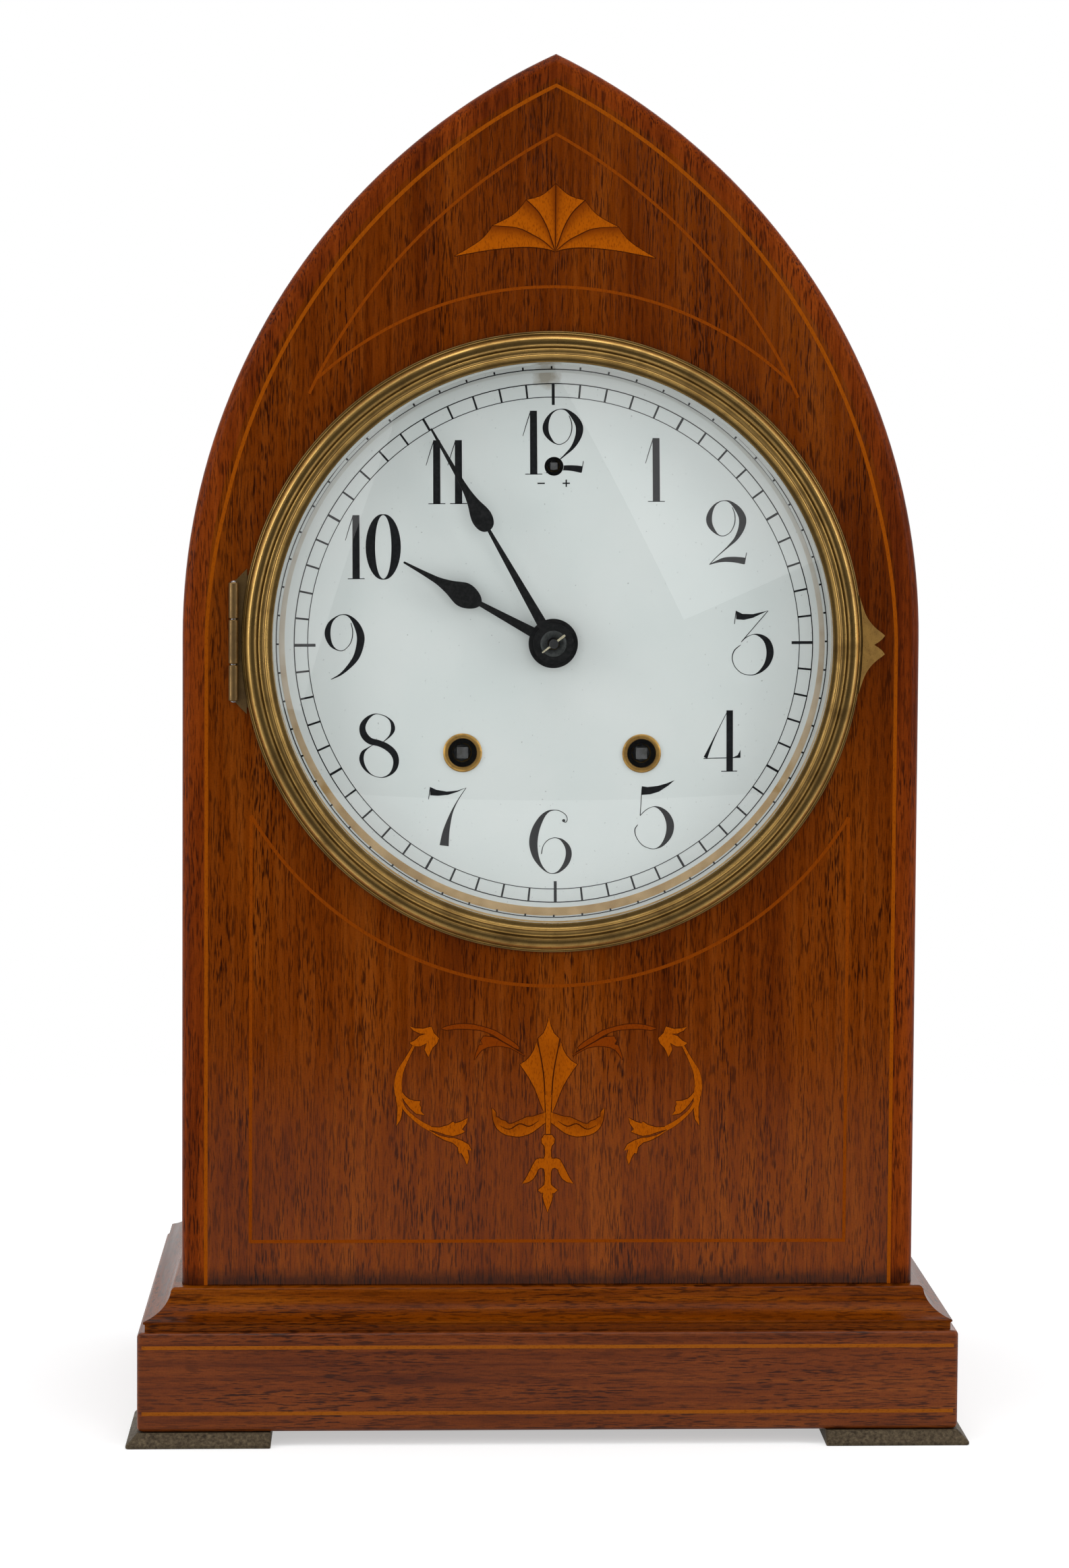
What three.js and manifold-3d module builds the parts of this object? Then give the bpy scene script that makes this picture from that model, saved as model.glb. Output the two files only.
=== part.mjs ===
// Beehive mantel clock with a striking eight-day movement.
// Millimetres, +Z up, the dial faces -Y, origin under the middle of the feet.
import * as THREE from 'three';
import { mergeVertices } from 'three/addons/utils/BufferGeometryUtils.js';
import Module from 'manifold-3d';

const wasm = await Module();
wasm.setup();

// Case
const totalHeight = 376;
const caseHalfWidth = 100.1;
const caseDepth = 124;
const caseBottom = 41.8;
const springHeight = 218.5;
const wall = 8;
const boardThickness = 12;
const backThickness = 8;
const floorThickness = 8;
const frontRounding = 3.5;
const glueLine = 0.1;
const archSteps = 14;
const roundingShares = [0, 0.25, 0.6, 1];

// Base
const plinthProjection = 11.4;
const plinthTop = 31;
const plinthEdge = 0.8;
const mouldingBottomProjection = 8.7;
const mouldingFillet = 2.4;
const coveTopProjection = 1.6;
const topFilletProjection = 2.6;
const topFilletHeight = 2.2;
const coveSteps = 5;
const footSize = 38;
const footHeight = 3.8;
const footFlare = 2.9;
const footLip = 1;

// Back door
const doorHalfWidth = 50;
const doorBottom = 66;
const doorArchHeight = 230;
const doorThickness = 6;
const doorGap = 0.6;
const doorSteps = 14;
const doorHingeLength = 44;
const doorHingeHeight = 150;
const doorBarrel = 1.9;
const doorLeafWidth = 11;
const leafThickness = 0.8;
const knobRadius = 6;
const knobLength = 9;
const knobInset = 10;
const knobShoulder = 0.8;

// Dial and bezel
const dialHeight = 217.4;
const dialRadius = 76.5;
const dialThickness = 1.2;
const dialFace = 4;
const dialCentreHole = 4.2;
const windingX = 24;
const windingDrop = 29.5;
const regulatorRise = 47.2;
const regulatorHole = 2.55;
const grommetRadius = 5.2;
const grommetBarrel = 4.5;
const grommetBore = 3.85;
const grommetFlange = 0.5;
const panWall = 1.8;
const panFlange = 2.4;
const panSheet = 0.8;
const panLip = 4.5;
const bezelWidth = 7.2;
const bezelBack = 0.9;
const bezelFlange = 1.1;
const bezelFlangeWidth = 1.9;
const sightMargin = 0.4;
const bezelProjection = 7.4;
const glassSeat = 1.6;
const glassThickness = 1.8;
const glassRise = 13;
const glassBevel = 3.7;
const retainerWidth = 2.1;
const retainerThickness = 1.6;
const domeShares = [0, 0.33, 0.67, 1];
const ringSteps = 32;
const hingeLength = 36.6;
const hingeBarrel = 1.8;
const hingePin = 0.9;
const hingeLift = 2.5;
const hingeGap = 0.2;
const tabHalfHeight = 13.5;
const tabReach = 6;
const tabNotch = 3;
const tabSteps = 12;

// Bezel section from the outside in, as shares of its width and of its projection
const bezelSection = [
  [0.98, 0.3], [0.82, 0.58], [0.6, 0.6], [0.5, 0.48], [0.42, 0.72], [0.28, 0.97], [0.13, 1], [0, 0.86],
];

// Hands, shown at five minutes to ten
const minuteAngle = 330;
const hourAngle = 297.5;
const handThickness = 0.7;
const hourHandDepth = 1.3;
const minuteHandDepth = -0.9;
const hourHub = 6.6;
const minuteHub = 5;
const washerRadius = 3.5;
const washerThickness = 0.5;
const handPinLength = 7.7;
const handPinRadius = 0.45;
const handPinTilt = 38;
const handPinSet = 1.4;
const hourHand = [
  [22.7, 0.7], [24, 1.6], [25.6, 2.9], [27.6, 3.4], [30, 2.6], [34.8, 1.1], [40, 0.65], [46.4, 0.35],
];
const minuteHand = [
  [36.6, 0.5], [37.6, 1.7], [39.8, 2.75], [43, 2.2], [48, 1.3], [53.6, 0.85], [60, 0.6], [69.2, 0.35],
];
const hourShaft = 1.35;
const hourPipe = 3;
const centrePost = 1.3;
const minuteShaft = 1.4;

// Movement frame
const plateHalfWidth = 48;
const plateHalfHeight = 60;
const plateThickness = 2;
const plateGap = 36;
const plateArm = 12;
const pillarRadius = 3;
const pillarInset = 7;
const arborRadius = 1.1;
const pivotRadius = 0.8;
const pivotClearance = 0.3;
const runningGap = 0.3;
const endShake = 0.4;
const shoulder = 1;

// Wheels and pinions: teeth, leaves and module of each mesh
const greatMesh = { wheel: 36, pinion: 9, module: 1.0667 };
const secondMesh = { wheel: 30, pinion: 10, module: 0.96 };
const centreMesh = { wheel: 60, pinion: 6, module: 0.55 };
const thirdMesh = { wheel: 60, pinion: 6, module: 0.5 };
const strikeSecondMesh = { wheel: 36, pinion: 6, module: 0.7333 };
const strikePinMesh = { wheel: 48, pinion: 6, module: 0.5 };
const minuteMesh = { wheel: 30, pinion: 10, module: 0.6 };
const hourMesh = { wheel: 24, pinion: 6, module: 0.8 };
const addendum = 0.75;
const wheelDedendum = 1.6;
const leafDedendum = 1.15;
const tipShare = 0.08;
const rootShare = 0.19;
const wheelThickness = 1.3;
const greatThickness = 2;
const pinionLength = 4;
const rimWidth = 2.2;
const hubRadius = 3;
const spokeWidth = 1.8;
const spokes = 4;
const windowSteps = 3;
const hourWheelGap = 1;
const minuteWheelGap = 0.9;
const escapeTeeth = 44;
const escapeRadius = 13;
const escapeRoot = 11.3;
const escapeRise = 20;
const escapeSteep = 0.2;
const palletClearance = 1.35;
const anchorStrip = 1.6;
const anchorWidth = 2;
const anchorElbow = 0.75;
const ratchetTeeth = 24;
const ratchetRadius = 8;
const ratchetRoot = 6.9;
const ratchetThickness = 1.6;
const ratchetSteep = 0.1;
const clickPivot = 12.6;
const clickAngle = 90;
const clickLength = 7.5;
const clickThickness = 1.4;
const clickBelly = 0.6;
const windingSquare = 3;
const windingArbor = 3;
const windingBearing = 2.2;
const windingTip = 5.8;
const greatHub = 5;
const strikeSecondAngle = 95;
const strikePinAngle = 80;
const flyAngle = 75;
const strikePins = 8;
const strikePinCircle = 9;
const strikePinRadius = 0.6;
const strikePinLength = 1.9;
const flyRadius = 9;
const flyLength = 10;
const flyThickness = 0.6;

// Places of the wheels behind the front plate's rear face
const secondWheelPlace = 5;
const pinWheelPlace = 9;
const ratchetPlace = 11;
const greatPlace = 14;
const centreWheelPlace = 19;
const thirdWheelPlace = 24;
const escapeWheelPlace = 29;
const springPlace = 17.5;
const flyPlace = 17;

// Mainsprings
const springWidth = 13;
const springStrip = 0.5;
const springInner = 3.7;
const springOuter = 17.5;
const springTurns = 5;
const springSteps = 12;

// Pendulum, suspension and regulator, behind the back plate
const pendulumLength = 166;
const pendulumPlace = 9.4;
const rodHalfWidth = 0.8;
const rodDepth = 1.6;
const bobRadius = 19;
const bobThickness = 7;
const bobNeck = 0.5;
const bobShoulder = 0.6;
const bobCrown = 0.8;
const crutchLength = 26;
const crutchPlace = 4.5;
const crutchThickness = 1.5;
const crutchHalfWidth = 1.2;
const crutchFork = 6;
const regulatorSquare = 1.9;
const regulatorArbor = 1.3;
const rackModule = 0.5;
const rackLeaves = 8;
const rackTeeth = 7;
const rackPlace = 3.2;
const rackDepth = 2.6;
const sliderHeight = 10;
const sliderSlot = 0.5;
const sliderCheek = 2.5;
const sliderStep = 1;
const postRise = 7.6;
const postHeight = 5;
const postHalfWidth = 4;
const suspensionStrip = 0.2;
const suspensionWidth = 3;

// Hammer and gong
const hammerX = -44;
const hammerDrop = 8;
const hammerWire = 1.2;
const hammerPlace = 4;
const hammerHeadRadius = 4.5;
const hammerHeadLength = 10;
const hammerGap = 1.9;
const hammerTailGap = 1;
const hammerBend = 0.75;
const hammerSteps = 9;
const gongHeight = 100;
const gongPlace = 30;
const gongInner = 11;
const gongOuter = 31;
const gongTurns = 3.5;
const gongSteps = 20;
const gongWire = 1.1;
const gongBossWidth = 3;
const gongBossHeight = 4.6;
const gongStandThickness = 6;
const gongFoot = 12;

// Facets of round forms, by size, and the margin by which a cut runs past a face
const bobFacets = 28;
const largeFacets = 16;
const middleFacets = 12;
const smallFacets = 10;
const arborFacets = 8;
const pinFacets = 6;
const gongFacets = 5;
const cutMargin = 1;
const weldTolerance = 1e-4;

// Worked-out sizes
const archRise = totalHeight - springHeight;
const archRadius = (caseHalfWidth ** 2 + archRise ** 2) / (2 * caseHalfWidth);
const archOffset = archRadius - caseHalfWidth;
const plinthHalfWidth = caseHalfWidth + plinthProjection;
const plinthHalfDepth = caseDepth / 2 + plinthProjection;
const sightRadius = dialRadius + sightMargin;
const bezelRadius = sightRadius + bezelWidth;
const panRadius = dialRadius + runningGap + panWall;
const boardHole = panRadius + runningGap;
const bezelRebate = sightRadius + glassSeat;
const rackPitch = rackModule * rackLeaves / 2;
const frontPlateFace = boardThickness + glueLine;
const frontPlateRear = frontPlateFace + plateThickness;
const backPlateFace = frontPlateRear + plateGap;
const backPlateRear = backPlateFace + plateThickness;
const meshDistance = (mesh) => mesh.module * (mesh.wheel + mesh.pinion) / 2;
const radians = THREE.MathUtils.degToRad;

// Shape helpers
const point = (x, y) => new THREE.Vector2(x, y);
const polar = (radius, angle) => point(radius * Math.cos(angle), radius * Math.sin(angle));

function arc(x, y, radius, from, to, steps) {
  const points = [];
  for (let i = 0; i <= steps; i += 1) {
    points.push(polar(radius, from + (to - from) * i / steps).add(point(x, y)));
  }
  return points;
}

function circle(x, y, radius, steps) {
  return arc(x, y, radius, 0, 2 * Math.PI, steps).slice(0, steps);
}

function rectangle(x0, x1, y0, y1) {
  return [point(x0, y0), point(x1, y0), point(x1, y1), point(x0, y1)];
}

// A flat outline in X and Z, with holes, run from one depth to another
function prism(outline, front, rear, holes = []) {
  const shape = new THREE.Shape(outline);
  shape.holes = holes.map((hole) => new THREE.Path(hole));
  const geometry = new THREE.ExtrudeGeometry(shape, { depth: rear - front, bevelEnabled: false });
  return geometry.rotateX(Math.PI / 2).translate(0, rear, 0);
}

// A flat outline in X and depth, run from one height to another
function upright(outline, bottom, top) {
  const shape = new THREE.Shape(outline);
  const geometry = new THREE.ExtrudeGeometry(shape, { depth: top - bottom, bevelEnabled: false });
  return geometry.translate(0, 0, bottom);
}

// A profile of radius and depth, turned about the depth axis
function turned(profile, steps) {
  const points = profile.map(([radius, depth]) => point(radius, depth));
  if (THREE.ShapeUtils.area(points) < 0) points.reverse();
  const closed = points.every((p) => p.x > 0);
  if (closed) points.push(points[0].clone());
  return new THREE.LatheGeometry(points, steps);
}

// Outlines of equal counts joined in order, each placed at its level
function loft(outlines, levels, place) {
  const count = outlines[0].length;
  const positions = [];
  outlines.forEach((outline, k) => outline.forEach((p) => positions.push(...place(p, levels[k]))));
  const index = [];
  for (let k = 0; k + 1 < outlines.length; k += 1) {
    for (let i = 0; i < count; i += 1) {
      const a = k * count + i;
      const b = k * count + (i + 1) % count;
      index.push(a, b, b + count, a, b + count, a + count);
    }
  }
  const last = (outlines.length - 1) * count;
  THREE.ShapeUtils.triangulateShape(outlines[0], []).forEach(([a, b, c]) => index.push(a, c, b));
  THREE.ShapeUtils.triangulateShape(outlines.at(-1), []).forEach(([a, b, c]) => {
    index.push(last + a, last + b, last + c);
  });
  const geometry = new THREE.BufferGeometry();
  geometry.setAttribute('position', new THREE.Float32BufferAttribute(positions, 3));
  geometry.setIndex(index);
  return geometry;
}

const standing = (p, height) => [p.x, p.y, height];
const facing = (p, depth) => [p.x, depth, p.y];

// A round wire along a curve
function wire(curve, radius, steps, sides) {
  const section = new THREE.Shape(circle(0, 0, radius, sides));
  return new THREE.ExtrudeGeometry(section, { steps, extrudePath: curve, bevelEnabled: false });
}

// Boolean helpers
function solid(geometry) {
  const bare = geometry.clone();
  bare.deleteAttribute('normal');
  bare.deleteAttribute('uv');
  const merged = mergeVertices(bare, weldTolerance);
  const vertProperties = Float32Array.from(merged.attributes.position.array);
  const triVerts = Uint32Array.from(merged.index.array);
  return new wasm.Manifold(new wasm.Mesh({ numProp: 3, vertProperties, triVerts }));
}

function surface(manifold) {
  const mesh = manifold.getMesh();
  const geometry = new THREE.BufferGeometry();
  geometry.setAttribute('position', new THREE.Float32BufferAttribute(mesh.vertProperties, 3));
  geometry.setIndex(Array.from(mesh.triVerts));
  return geometry;
}

function join(...geometries) {
  return surface(geometries.map(solid).reduce((sum, next) => sum.add(next)));
}

function cut(geometry, ...tools) {
  return surface(tools.map(solid).reduce((rest, tool) => rest.subtract(tool), solid(geometry)));
}

// Finishes: colour, roughness, metalness
const finishes = {
  mahogany: [0x6a2f1c, 0.35, 0],
  brass: [0xb8924a, 0.3, 1],
  bronze: [0x4a4330, 0.5, 1],
  steel: [0x9a9a98, 0.35, 1],
  blued: [0x17171a, 0.4, 0.6],
  enamel: [0xf1f2ef, 0.15, 0],
  glass: [0xe8f0ee, 0.05, 0],
};

function piece(parent, name, finish, geometry) {
  const [color, roughness, metalness] = finishes[finish];
  const mesh = new THREE.Mesh(geometry, new THREE.MeshStandardMaterial({ color, roughness, metalness }));
  mesh.name = name;
  parent.add(mesh);
  return mesh;
}

// Frames: the case is measured from its front face, the movement from the dial's centre
const clock = new THREE.Group();
const cased = new THREE.Group();
cased.position.y = -caseDepth / 2;
clock.add(cased);
const centred = new THREE.Group();
centred.position.z = dialHeight;
cased.add(centred);

// Right half of the arch, from the spring line up to a given distance from the middle
function archSide(inset, end) {
  const radius = archRadius - inset;
  const stop = Math.acos((archOffset + end) / radius);
  return arc(-archOffset, springHeight, radius, 0, stop, archSteps);
}

const mirrored = (points) => points.map((p) => point(-p.x, p.y)).reverse();

function archOutline(inset, bottom) {
  const right = [point(caseHalfWidth - inset, bottom), ...archSide(inset, 0)];
  return [...right, ...mirrored(right).slice(1)];
}

function caseFront() {
  const insets = roundingShares.map((t) => frontRounding * (1 - Math.sin(t * Math.PI / 2)));
  const depths = roundingShares.map((t) => frontRounding * (1 - Math.cos(t * Math.PI / 2)));
  const outlines = [0, ...insets.reverse()].map((inset) => archOutline(inset, caseBottom));
  const body = loft(outlines, [boardThickness, ...depths.reverse()], facing);
  const hole = prism(circle(0, dialHeight, boardHole, ringSteps), -cutMargin, boardThickness + cutMargin);
  return cut(body, hole);
}

function caseSide(mirror) {
  const outer = [point(caseHalfWidth, caseBottom), ...archSide(0, glueLine / 2)];
  const inner = [point(caseHalfWidth - wall, caseBottom), ...archSide(wall, glueLine / 2)];
  const right = [...outer, ...inner.reverse()];
  const outline = mirror ? mirrored(right) : right;
  return prism(outline, boardThickness + glueLine, caseDepth - backThickness - glueLine);
}

function doorOutline(inset) {
  const half = doorHalfWidth - inset;
  const bottom = doorBottom + inset;
  const arch = arc(0, doorArchHeight, half, 0, Math.PI, doorSteps);
  return [point(-half, bottom), point(half, bottom), ...arch];
}

function caseFloor() {
  const half = caseHalfWidth - wall - glueLine;
  const outline = rectangle(-half, half, caseBottom, caseBottom + floorThickness);
  return prism(outline, boardThickness + glueLine, caseDepth - backThickness - glueLine);
}

piece(cased, 'case_front', 'mahogany', caseFront());
piece(cased, 'case_side_right', 'mahogany', caseSide(false));
piece(cased, 'case_side_left', 'mahogany', caseSide(true));
piece(cased, 'case_back', 'mahogany',
  prism(archOutline(0, caseBottom), caseDepth - backThickness, caseDepth, [doorOutline(0)]));
piece(cased, 'case_floor', 'mahogany', caseFloor());

// Moulding and plinth grow outwards from the case on all four sides
function baseOutline(projection) {
  const halfWidth = caseHalfWidth + projection;
  const halfDepth = caseDepth / 2 + projection;
  return rectangle(-halfWidth, halfWidth, -halfDepth, halfDepth);
}

function baseMoulding() {
  const coveBottom = plinthTop + glueLine + mouldingFillet;
  const coveTop = caseBottom - glueLine - topFilletHeight;
  const profile = [
    [mouldingBottomProjection, plinthTop + glueLine],
    [mouldingBottomProjection, coveBottom],
  ];
  for (let i = coveSteps - 1; i >= 0; i -= 1) {
    const angle = i / coveSteps * Math.PI / 2;
    const reach = mouldingBottomProjection - coveTopProjection;
    const height = (coveTop - coveBottom) * Math.sin(angle);
    profile.push([coveTopProjection + reach * (1 - Math.cos(angle)), coveTop - height]);
  }
  profile.push([topFilletProjection, coveTop + topFilletHeight / 4]);
  profile.push([topFilletProjection, caseBottom - glueLine]);
  return loft(profile.map(([out]) => baseOutline(out)), profile.map(([, height]) => height), standing);
}

function plinth() {
  const profile = [
    [plinthProjection - plinthEdge, footHeight + glueLine],
    [plinthProjection, footHeight + glueLine + plinthEdge],
    [plinthProjection, plinthTop - plinthEdge],
    [plinthProjection - plinthEdge, plinthTop],
  ];
  return loft(profile.map(([out]) => baseOutline(out)), profile.map(([, height]) => height), standing);
}

function foot(sideX, sideY) {
  const levels = [[footFlare, 0], [footFlare, footLip], [0, footHeight]];
  const outlines = levels.map(([flare]) => {
    const x = [sideX * (plinthHalfWidth + flare), sideX * (plinthHalfWidth - footSize)];
    const y = [sideY * (plinthHalfDepth + flare), sideY * (plinthHalfDepth - footSize)];
    return rectangle(Math.min(...x), Math.max(...x), Math.min(...y), Math.max(...y));
  });
  return loft(outlines, levels.map(([, height]) => height), standing);
}

piece(clock, 'base_moulding', 'mahogany', baseMoulding());
piece(clock, 'plinth', 'mahogany', plinth());
for (const [depthName, sideY] of [['front', -1], ['rear', 1]]) {
  for (const [widthName, sideX] of [['left', -1], ['right', 1]]) {
    piece(clock, `foot_${depthName}_${widthName}`, 'bronze', foot(sideX, sideY));
  }
}

// Back door, hung on the right edge as seen from the front, with its barrel behind the board
const doorAxisX = doorHalfWidth - doorGap / 2;
const doorAxisDepth = caseDepth + leafThickness + doorBarrel;
const doorThird = doorHingeLength / 3;

function knuckle(x, depth, barrel, bore, bottom, top) {
  const ring = new THREE.Shape(circle(x, depth, barrel, smallFacets));
  if (bore > 0) ring.holes = [new THREE.Path(circle(x, depth, bore, arborFacets))];
  const geometry = new THREE.ExtrudeGeometry(ring, { depth: top - bottom, bevelEnabled: false });
  return geometry.translate(0, 0, bottom);
}

function doorHingeFixed() {
  const bottom = doorHingeHeight - doorHingeLength / 2;
  const near = doorAxisX + doorBarrel + runningGap;
  const far = doorAxisX + doorLeafWidth;
  const seat = caseDepth + glueLine;
  const from = bottom + doorThird + runningGap;
  const to = bottom + 2 * doorThird - runningGap;
  const top = bottom + doorHingeLength;
  const leaf = upright(rectangle(near, far, seat, caseDepth + leafThickness), bottom, top);
  const webInner = doorAxisX + doorBarrel / 2;
  const web = upright(rectangle(webInner, near + leafThickness, seat, doorAxisDepth), from, to);
  const barrel = knuckle(doorAxisX, doorAxisDepth, doorBarrel, 0, from, to);
  const pin = knuckle(doorAxisX, doorAxisDepth, hingePin, 0, bottom, top);
  return join(leaf, web, barrel, pin);
}

function doorHingeMoving() {
  const bottom = doorHingeHeight - doorHingeLength / 2;
  const top = bottom + doorHingeLength;
  const near = doorAxisX - doorBarrel - runningGap;
  const far = doorAxisX - doorLeafWidth;
  const seat = caseDepth + glueLine;
  const webInner = doorAxisX - doorBarrel / 2;
  const bore = hingePin + pivotClearance;
  const parts = [upright(rectangle(far, near, seat, caseDepth + leafThickness), bottom, top)];
  for (const start of [bottom, bottom + 2 * doorThird]) {
    const end = start + doorThird;
    parts.push(upright(rectangle(near - leafThickness, webInner, seat, doorAxisDepth), start, end));
    parts.push(knuckle(doorAxisX, doorAxisDepth, doorBarrel, bore, start, end));
  }
  const clear = knuckle(doorAxisX, doorAxisDepth, bore, 0, bottom - cutMargin, top + cutMargin);
  return cut(join(...parts), clear);
}

function doorKnob() {
  const base = caseDepth + glueLine;
  const neck = knobRadius / 2;
  const tip = base + knobLength;
  return turned([[0, base], [neck, base], [neck, base + knobLength / 3],
    [knobRadius, base + knobLength / 2], [knobRadius, base + knobLength * knobShoulder],
    [neck, tip], [0, tip]], largeFacets);
}

piece(cased, 'back_door', 'mahogany', prism(doorOutline(doorGap), caseDepth - doorThickness, caseDepth));
piece(cased, 'back_door_hinge_fixed', 'brass', doorHingeFixed());
piece(cased, 'back_door_hinge_moving', 'brass', doorHingeMoving());
const knob = piece(cased, 'back_door_knob', 'brass', doorKnob());
knob.position.set(-doorHalfWidth + knobInset, 0, doorHingeHeight);

// Dial and what holds it
function dialPan() {
  const lipFront = dialFace + dialThickness + glueLine;
  const bore = dialRadius + runningGap;
  const front = -panSheet + glueLine;
  return turned([[dialRadius - panLip, lipFront], [bore, lipFront], [bore, front],
    [panRadius + panFlange, front], [panRadius + panFlange, -glueLine], [panRadius, -glueLine],
    [panRadius, lipFront + panSheet], [dialRadius - panLip, lipFront + panSheet]], ringSteps);
}

function dial() {
  const holes = [
    circle(0, 0, dialCentreHole, largeFacets),
    circle(0, regulatorRise, regulatorHole, middleFacets),
    circle(windingX, -windingDrop, grommetBarrel + pivotClearance, largeFacets),
    circle(-windingX, -windingDrop, grommetBarrel + pivotClearance, largeFacets),
  ];
  return prism(circle(0, 0, dialRadius, ringSteps), dialFace, dialFace + dialThickness, holes);
}

function grommet() {
  const front = dialFace - glueLine - grommetFlange;
  const rear = dialFace + dialThickness + glueLine;
  return turned([[grommetBore, front], [grommetRadius, front], [grommetRadius, front + grommetFlange],
    [grommetBarrel, front + grommetFlange], [grommetBarrel, rear], [grommetBore, rear]], largeFacets);
}

piece(centred, 'dial_pan', 'brass', dialPan());
piece(centred, 'dial', 'enamel', dial());
piece(centred, 'grommet_time', 'brass', grommet()).position.set(windingX, 0, -windingDrop);
piece(centred, 'grommet_strike', 'brass', grommet()).position.set(-windingX, 0, -windingDrop);

// Bezel, glass and its retaining ring
const bezelFront = -bezelBack - bezelFlange;
const beadRadius = bezelRadius - bezelFlangeWidth;
const lipRear = bezelFront - glassThickness - glassSeat - glueLine;
const glassEdge = bezelRebate - runningGap;
const glassFace = lipRear + runningGap / 2;

function bezelRing() {
  const width = beadRadius - sightRadius;
  const rise = bezelProjection + bezelFront;
  const section = bezelSection.map(([across, out]) => {
    return [sightRadius + width * across, bezelFront - rise * out];
  });
  return turned([[bezelRebate, -bezelBack], [bezelRadius, -bezelBack], [bezelRadius, bezelFront],
    [beadRadius, bezelFront], ...section, [sightRadius, lipRear], [bezelRebate, lipRear]], ringSteps);
}

function bezelGlass() {
  const crownRadius = sightRadius - glassBevel;
  const bevelRise = glassFace - glassBevel / 3;
  const sag = bevelRise + glassRise;
  const dome = (shift) => domeShares.map((t) => [crownRadius * t, -glassRise + sag * t * t + shift]);
  const rim = sightRadius - glassBevel / 6;
  const rear = glassFace + glassThickness;
  return turned([...dome(0), [rim, glassFace], [glassEdge, glassFace], [glassEdge, rear], [rim, rear],
    ...dome(glassThickness).reverse()], ringSteps);
}

function retainingRing() {
  const front = glassFace + glassThickness + runningGap / 2;
  const outer = bezelRebate - runningGap;
  const inner = outer - retainerWidth;
  const rear = front + retainerThickness;
  return turned([[inner, front], [outer, front], [outer, rear], [inner, rear]], ringSteps);
}

piece(centred, 'bezel_ring', 'brass', bezelRing());
piece(centred, 'bezel_glass', 'glass', bezelGlass());
piece(centred, 'glass_retaining_ring', 'brass', retainingRing());

// Bezel hinge at nine o'clock: middle knuckle on the case, outer knuckles on the bezel
const hingeX = -bezelRadius - hingeBarrel - hingeGap;
const hingeThird = hingeLength / 3;
const strapInner = -beadRadius - hingeGap;
const hingeHalf = hingeLength / 2;

function bezelHingeFixed() {
  const half = hingeThird / 2 - runningGap;
  const inner = -panRadius - panFlange - runningGap;
  const leafFront = -hingeLift + hingeBarrel + hingeGap;
  const leaf = upright(rectangle(hingeX - hingeBarrel, inner, leafFront, -glueLine), -hingeHalf, hingeHalf);
  const webHalf = hingeBarrel / 2;
  const web = upright(rectangle(hingeX - webHalf, hingeX + webHalf, -hingeLift, -glueLine), -half, half);
  const barrel = knuckle(hingeX, -hingeLift, hingeBarrel, 0, -half, half);
  const bore = knuckle(hingeX, -hingeLift, hingePin + pivotClearance, 0, -hingeLength, hingeLength);
  return cut(join(leaf, web, barrel), bore);
}

function bezelHingeMoving() {
  const rear = bezelFront - glueLine;
  const strap = upright(rectangle(hingeX, strapInner, rear - leafThickness, rear), -hingeHalf, hingeHalf);
  const barrels = [-hingeHalf, hingeHalf - hingeThird].map((start) => {
    return knuckle(hingeX, -hingeLift, hingeBarrel, 0, start, start + hingeThird);
  });
  const bore = knuckle(hingeX, -hingeLift, hingePin + pivotClearance, 0, -hingeLength, hingeLength);
  const half = hingeThird / 2 + runningGap;
  const reach = hingeBarrel + runningGap;
  const gap = upright(rectangle(hingeX - reach, hingeX + reach, -hingeLift - reach, 0), -half, half);
  return cut(join(strap, ...barrels), bore, gap);
}

function bezelTab() {
  const inner = bezelRadius + hingeGap;
  const spread = Math.asin(tabHalfHeight / inner);
  const edge = arc(0, 0, inner, spread, -spread, tabSteps);
  const tip = inner + tabReach;
  const prong = tabHalfHeight / 8;
  const outer = [point(inner + tabReach / 2, -tabHalfHeight / 2), point(tip, -prong),
    point(tip - tabNotch, 0), point(tip, prong), point(inner + tabReach / 2, tabHalfHeight / 2)];
  return prism([...edge, ...outer], bezelFront, -bezelBack);
}

piece(centred, 'bezel_hinge_fixed', 'brass', bezelHingeFixed());
piece(centred, 'bezel_hinge_moving', 'brass', bezelHingeMoving());
piece(centred, 'bezel_hinge_pin', 'steel', knuckle(hingeX, -hingeLift, hingePin, 0, -hingeHalf, hingeHalf));
piece(centred, 'bezel_tab', 'brass', bezelTab());

// Wheel teeth are pointed, and pinion leaves thin, so that they run free at a steady ratio
function toothOutline(teeth, module, phase) {
  const pitch = 2 * Math.PI / teeth;
  const points = [];
  for (let i = 0; i < teeth; i += 1) {
    points.push(polar(module * (teeth / 2 + addendum), phase + i * pitch));
    points.push(polar(module * (teeth / 2 - wheelDedendum), phase + (i + 0.5) * pitch));
  }
  return points;
}

function leafOutline(leaves, module, phase) {
  const pitch = 2 * Math.PI / leaves;
  const tip = module * (leaves / 2 + addendum);
  const root = module * (leaves / 2 - leafDedendum);
  const corners = [[root, -rootShare], [tip, -tipShare], [tip, tipShare], [root, rootShare]];
  const points = [];
  for (let i = 0; i < leaves; i += 1) {
    corners.forEach(([radius, share]) => points.push(polar(radius, phase + (i + share) * pitch)));
  }
  return points;
}

// Saw teeth: a tip with a steep and a long flank
function sawOutline(teeth, tip, root, steep) {
  const pitch = 2 * Math.PI / teeth;
  const points = [];
  for (let i = 0; i < teeth; i += 1) {
    points.push(polar(root, i * pitch), polar(tip, (i + steep) * pitch));
  }
  return points;
}

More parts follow.
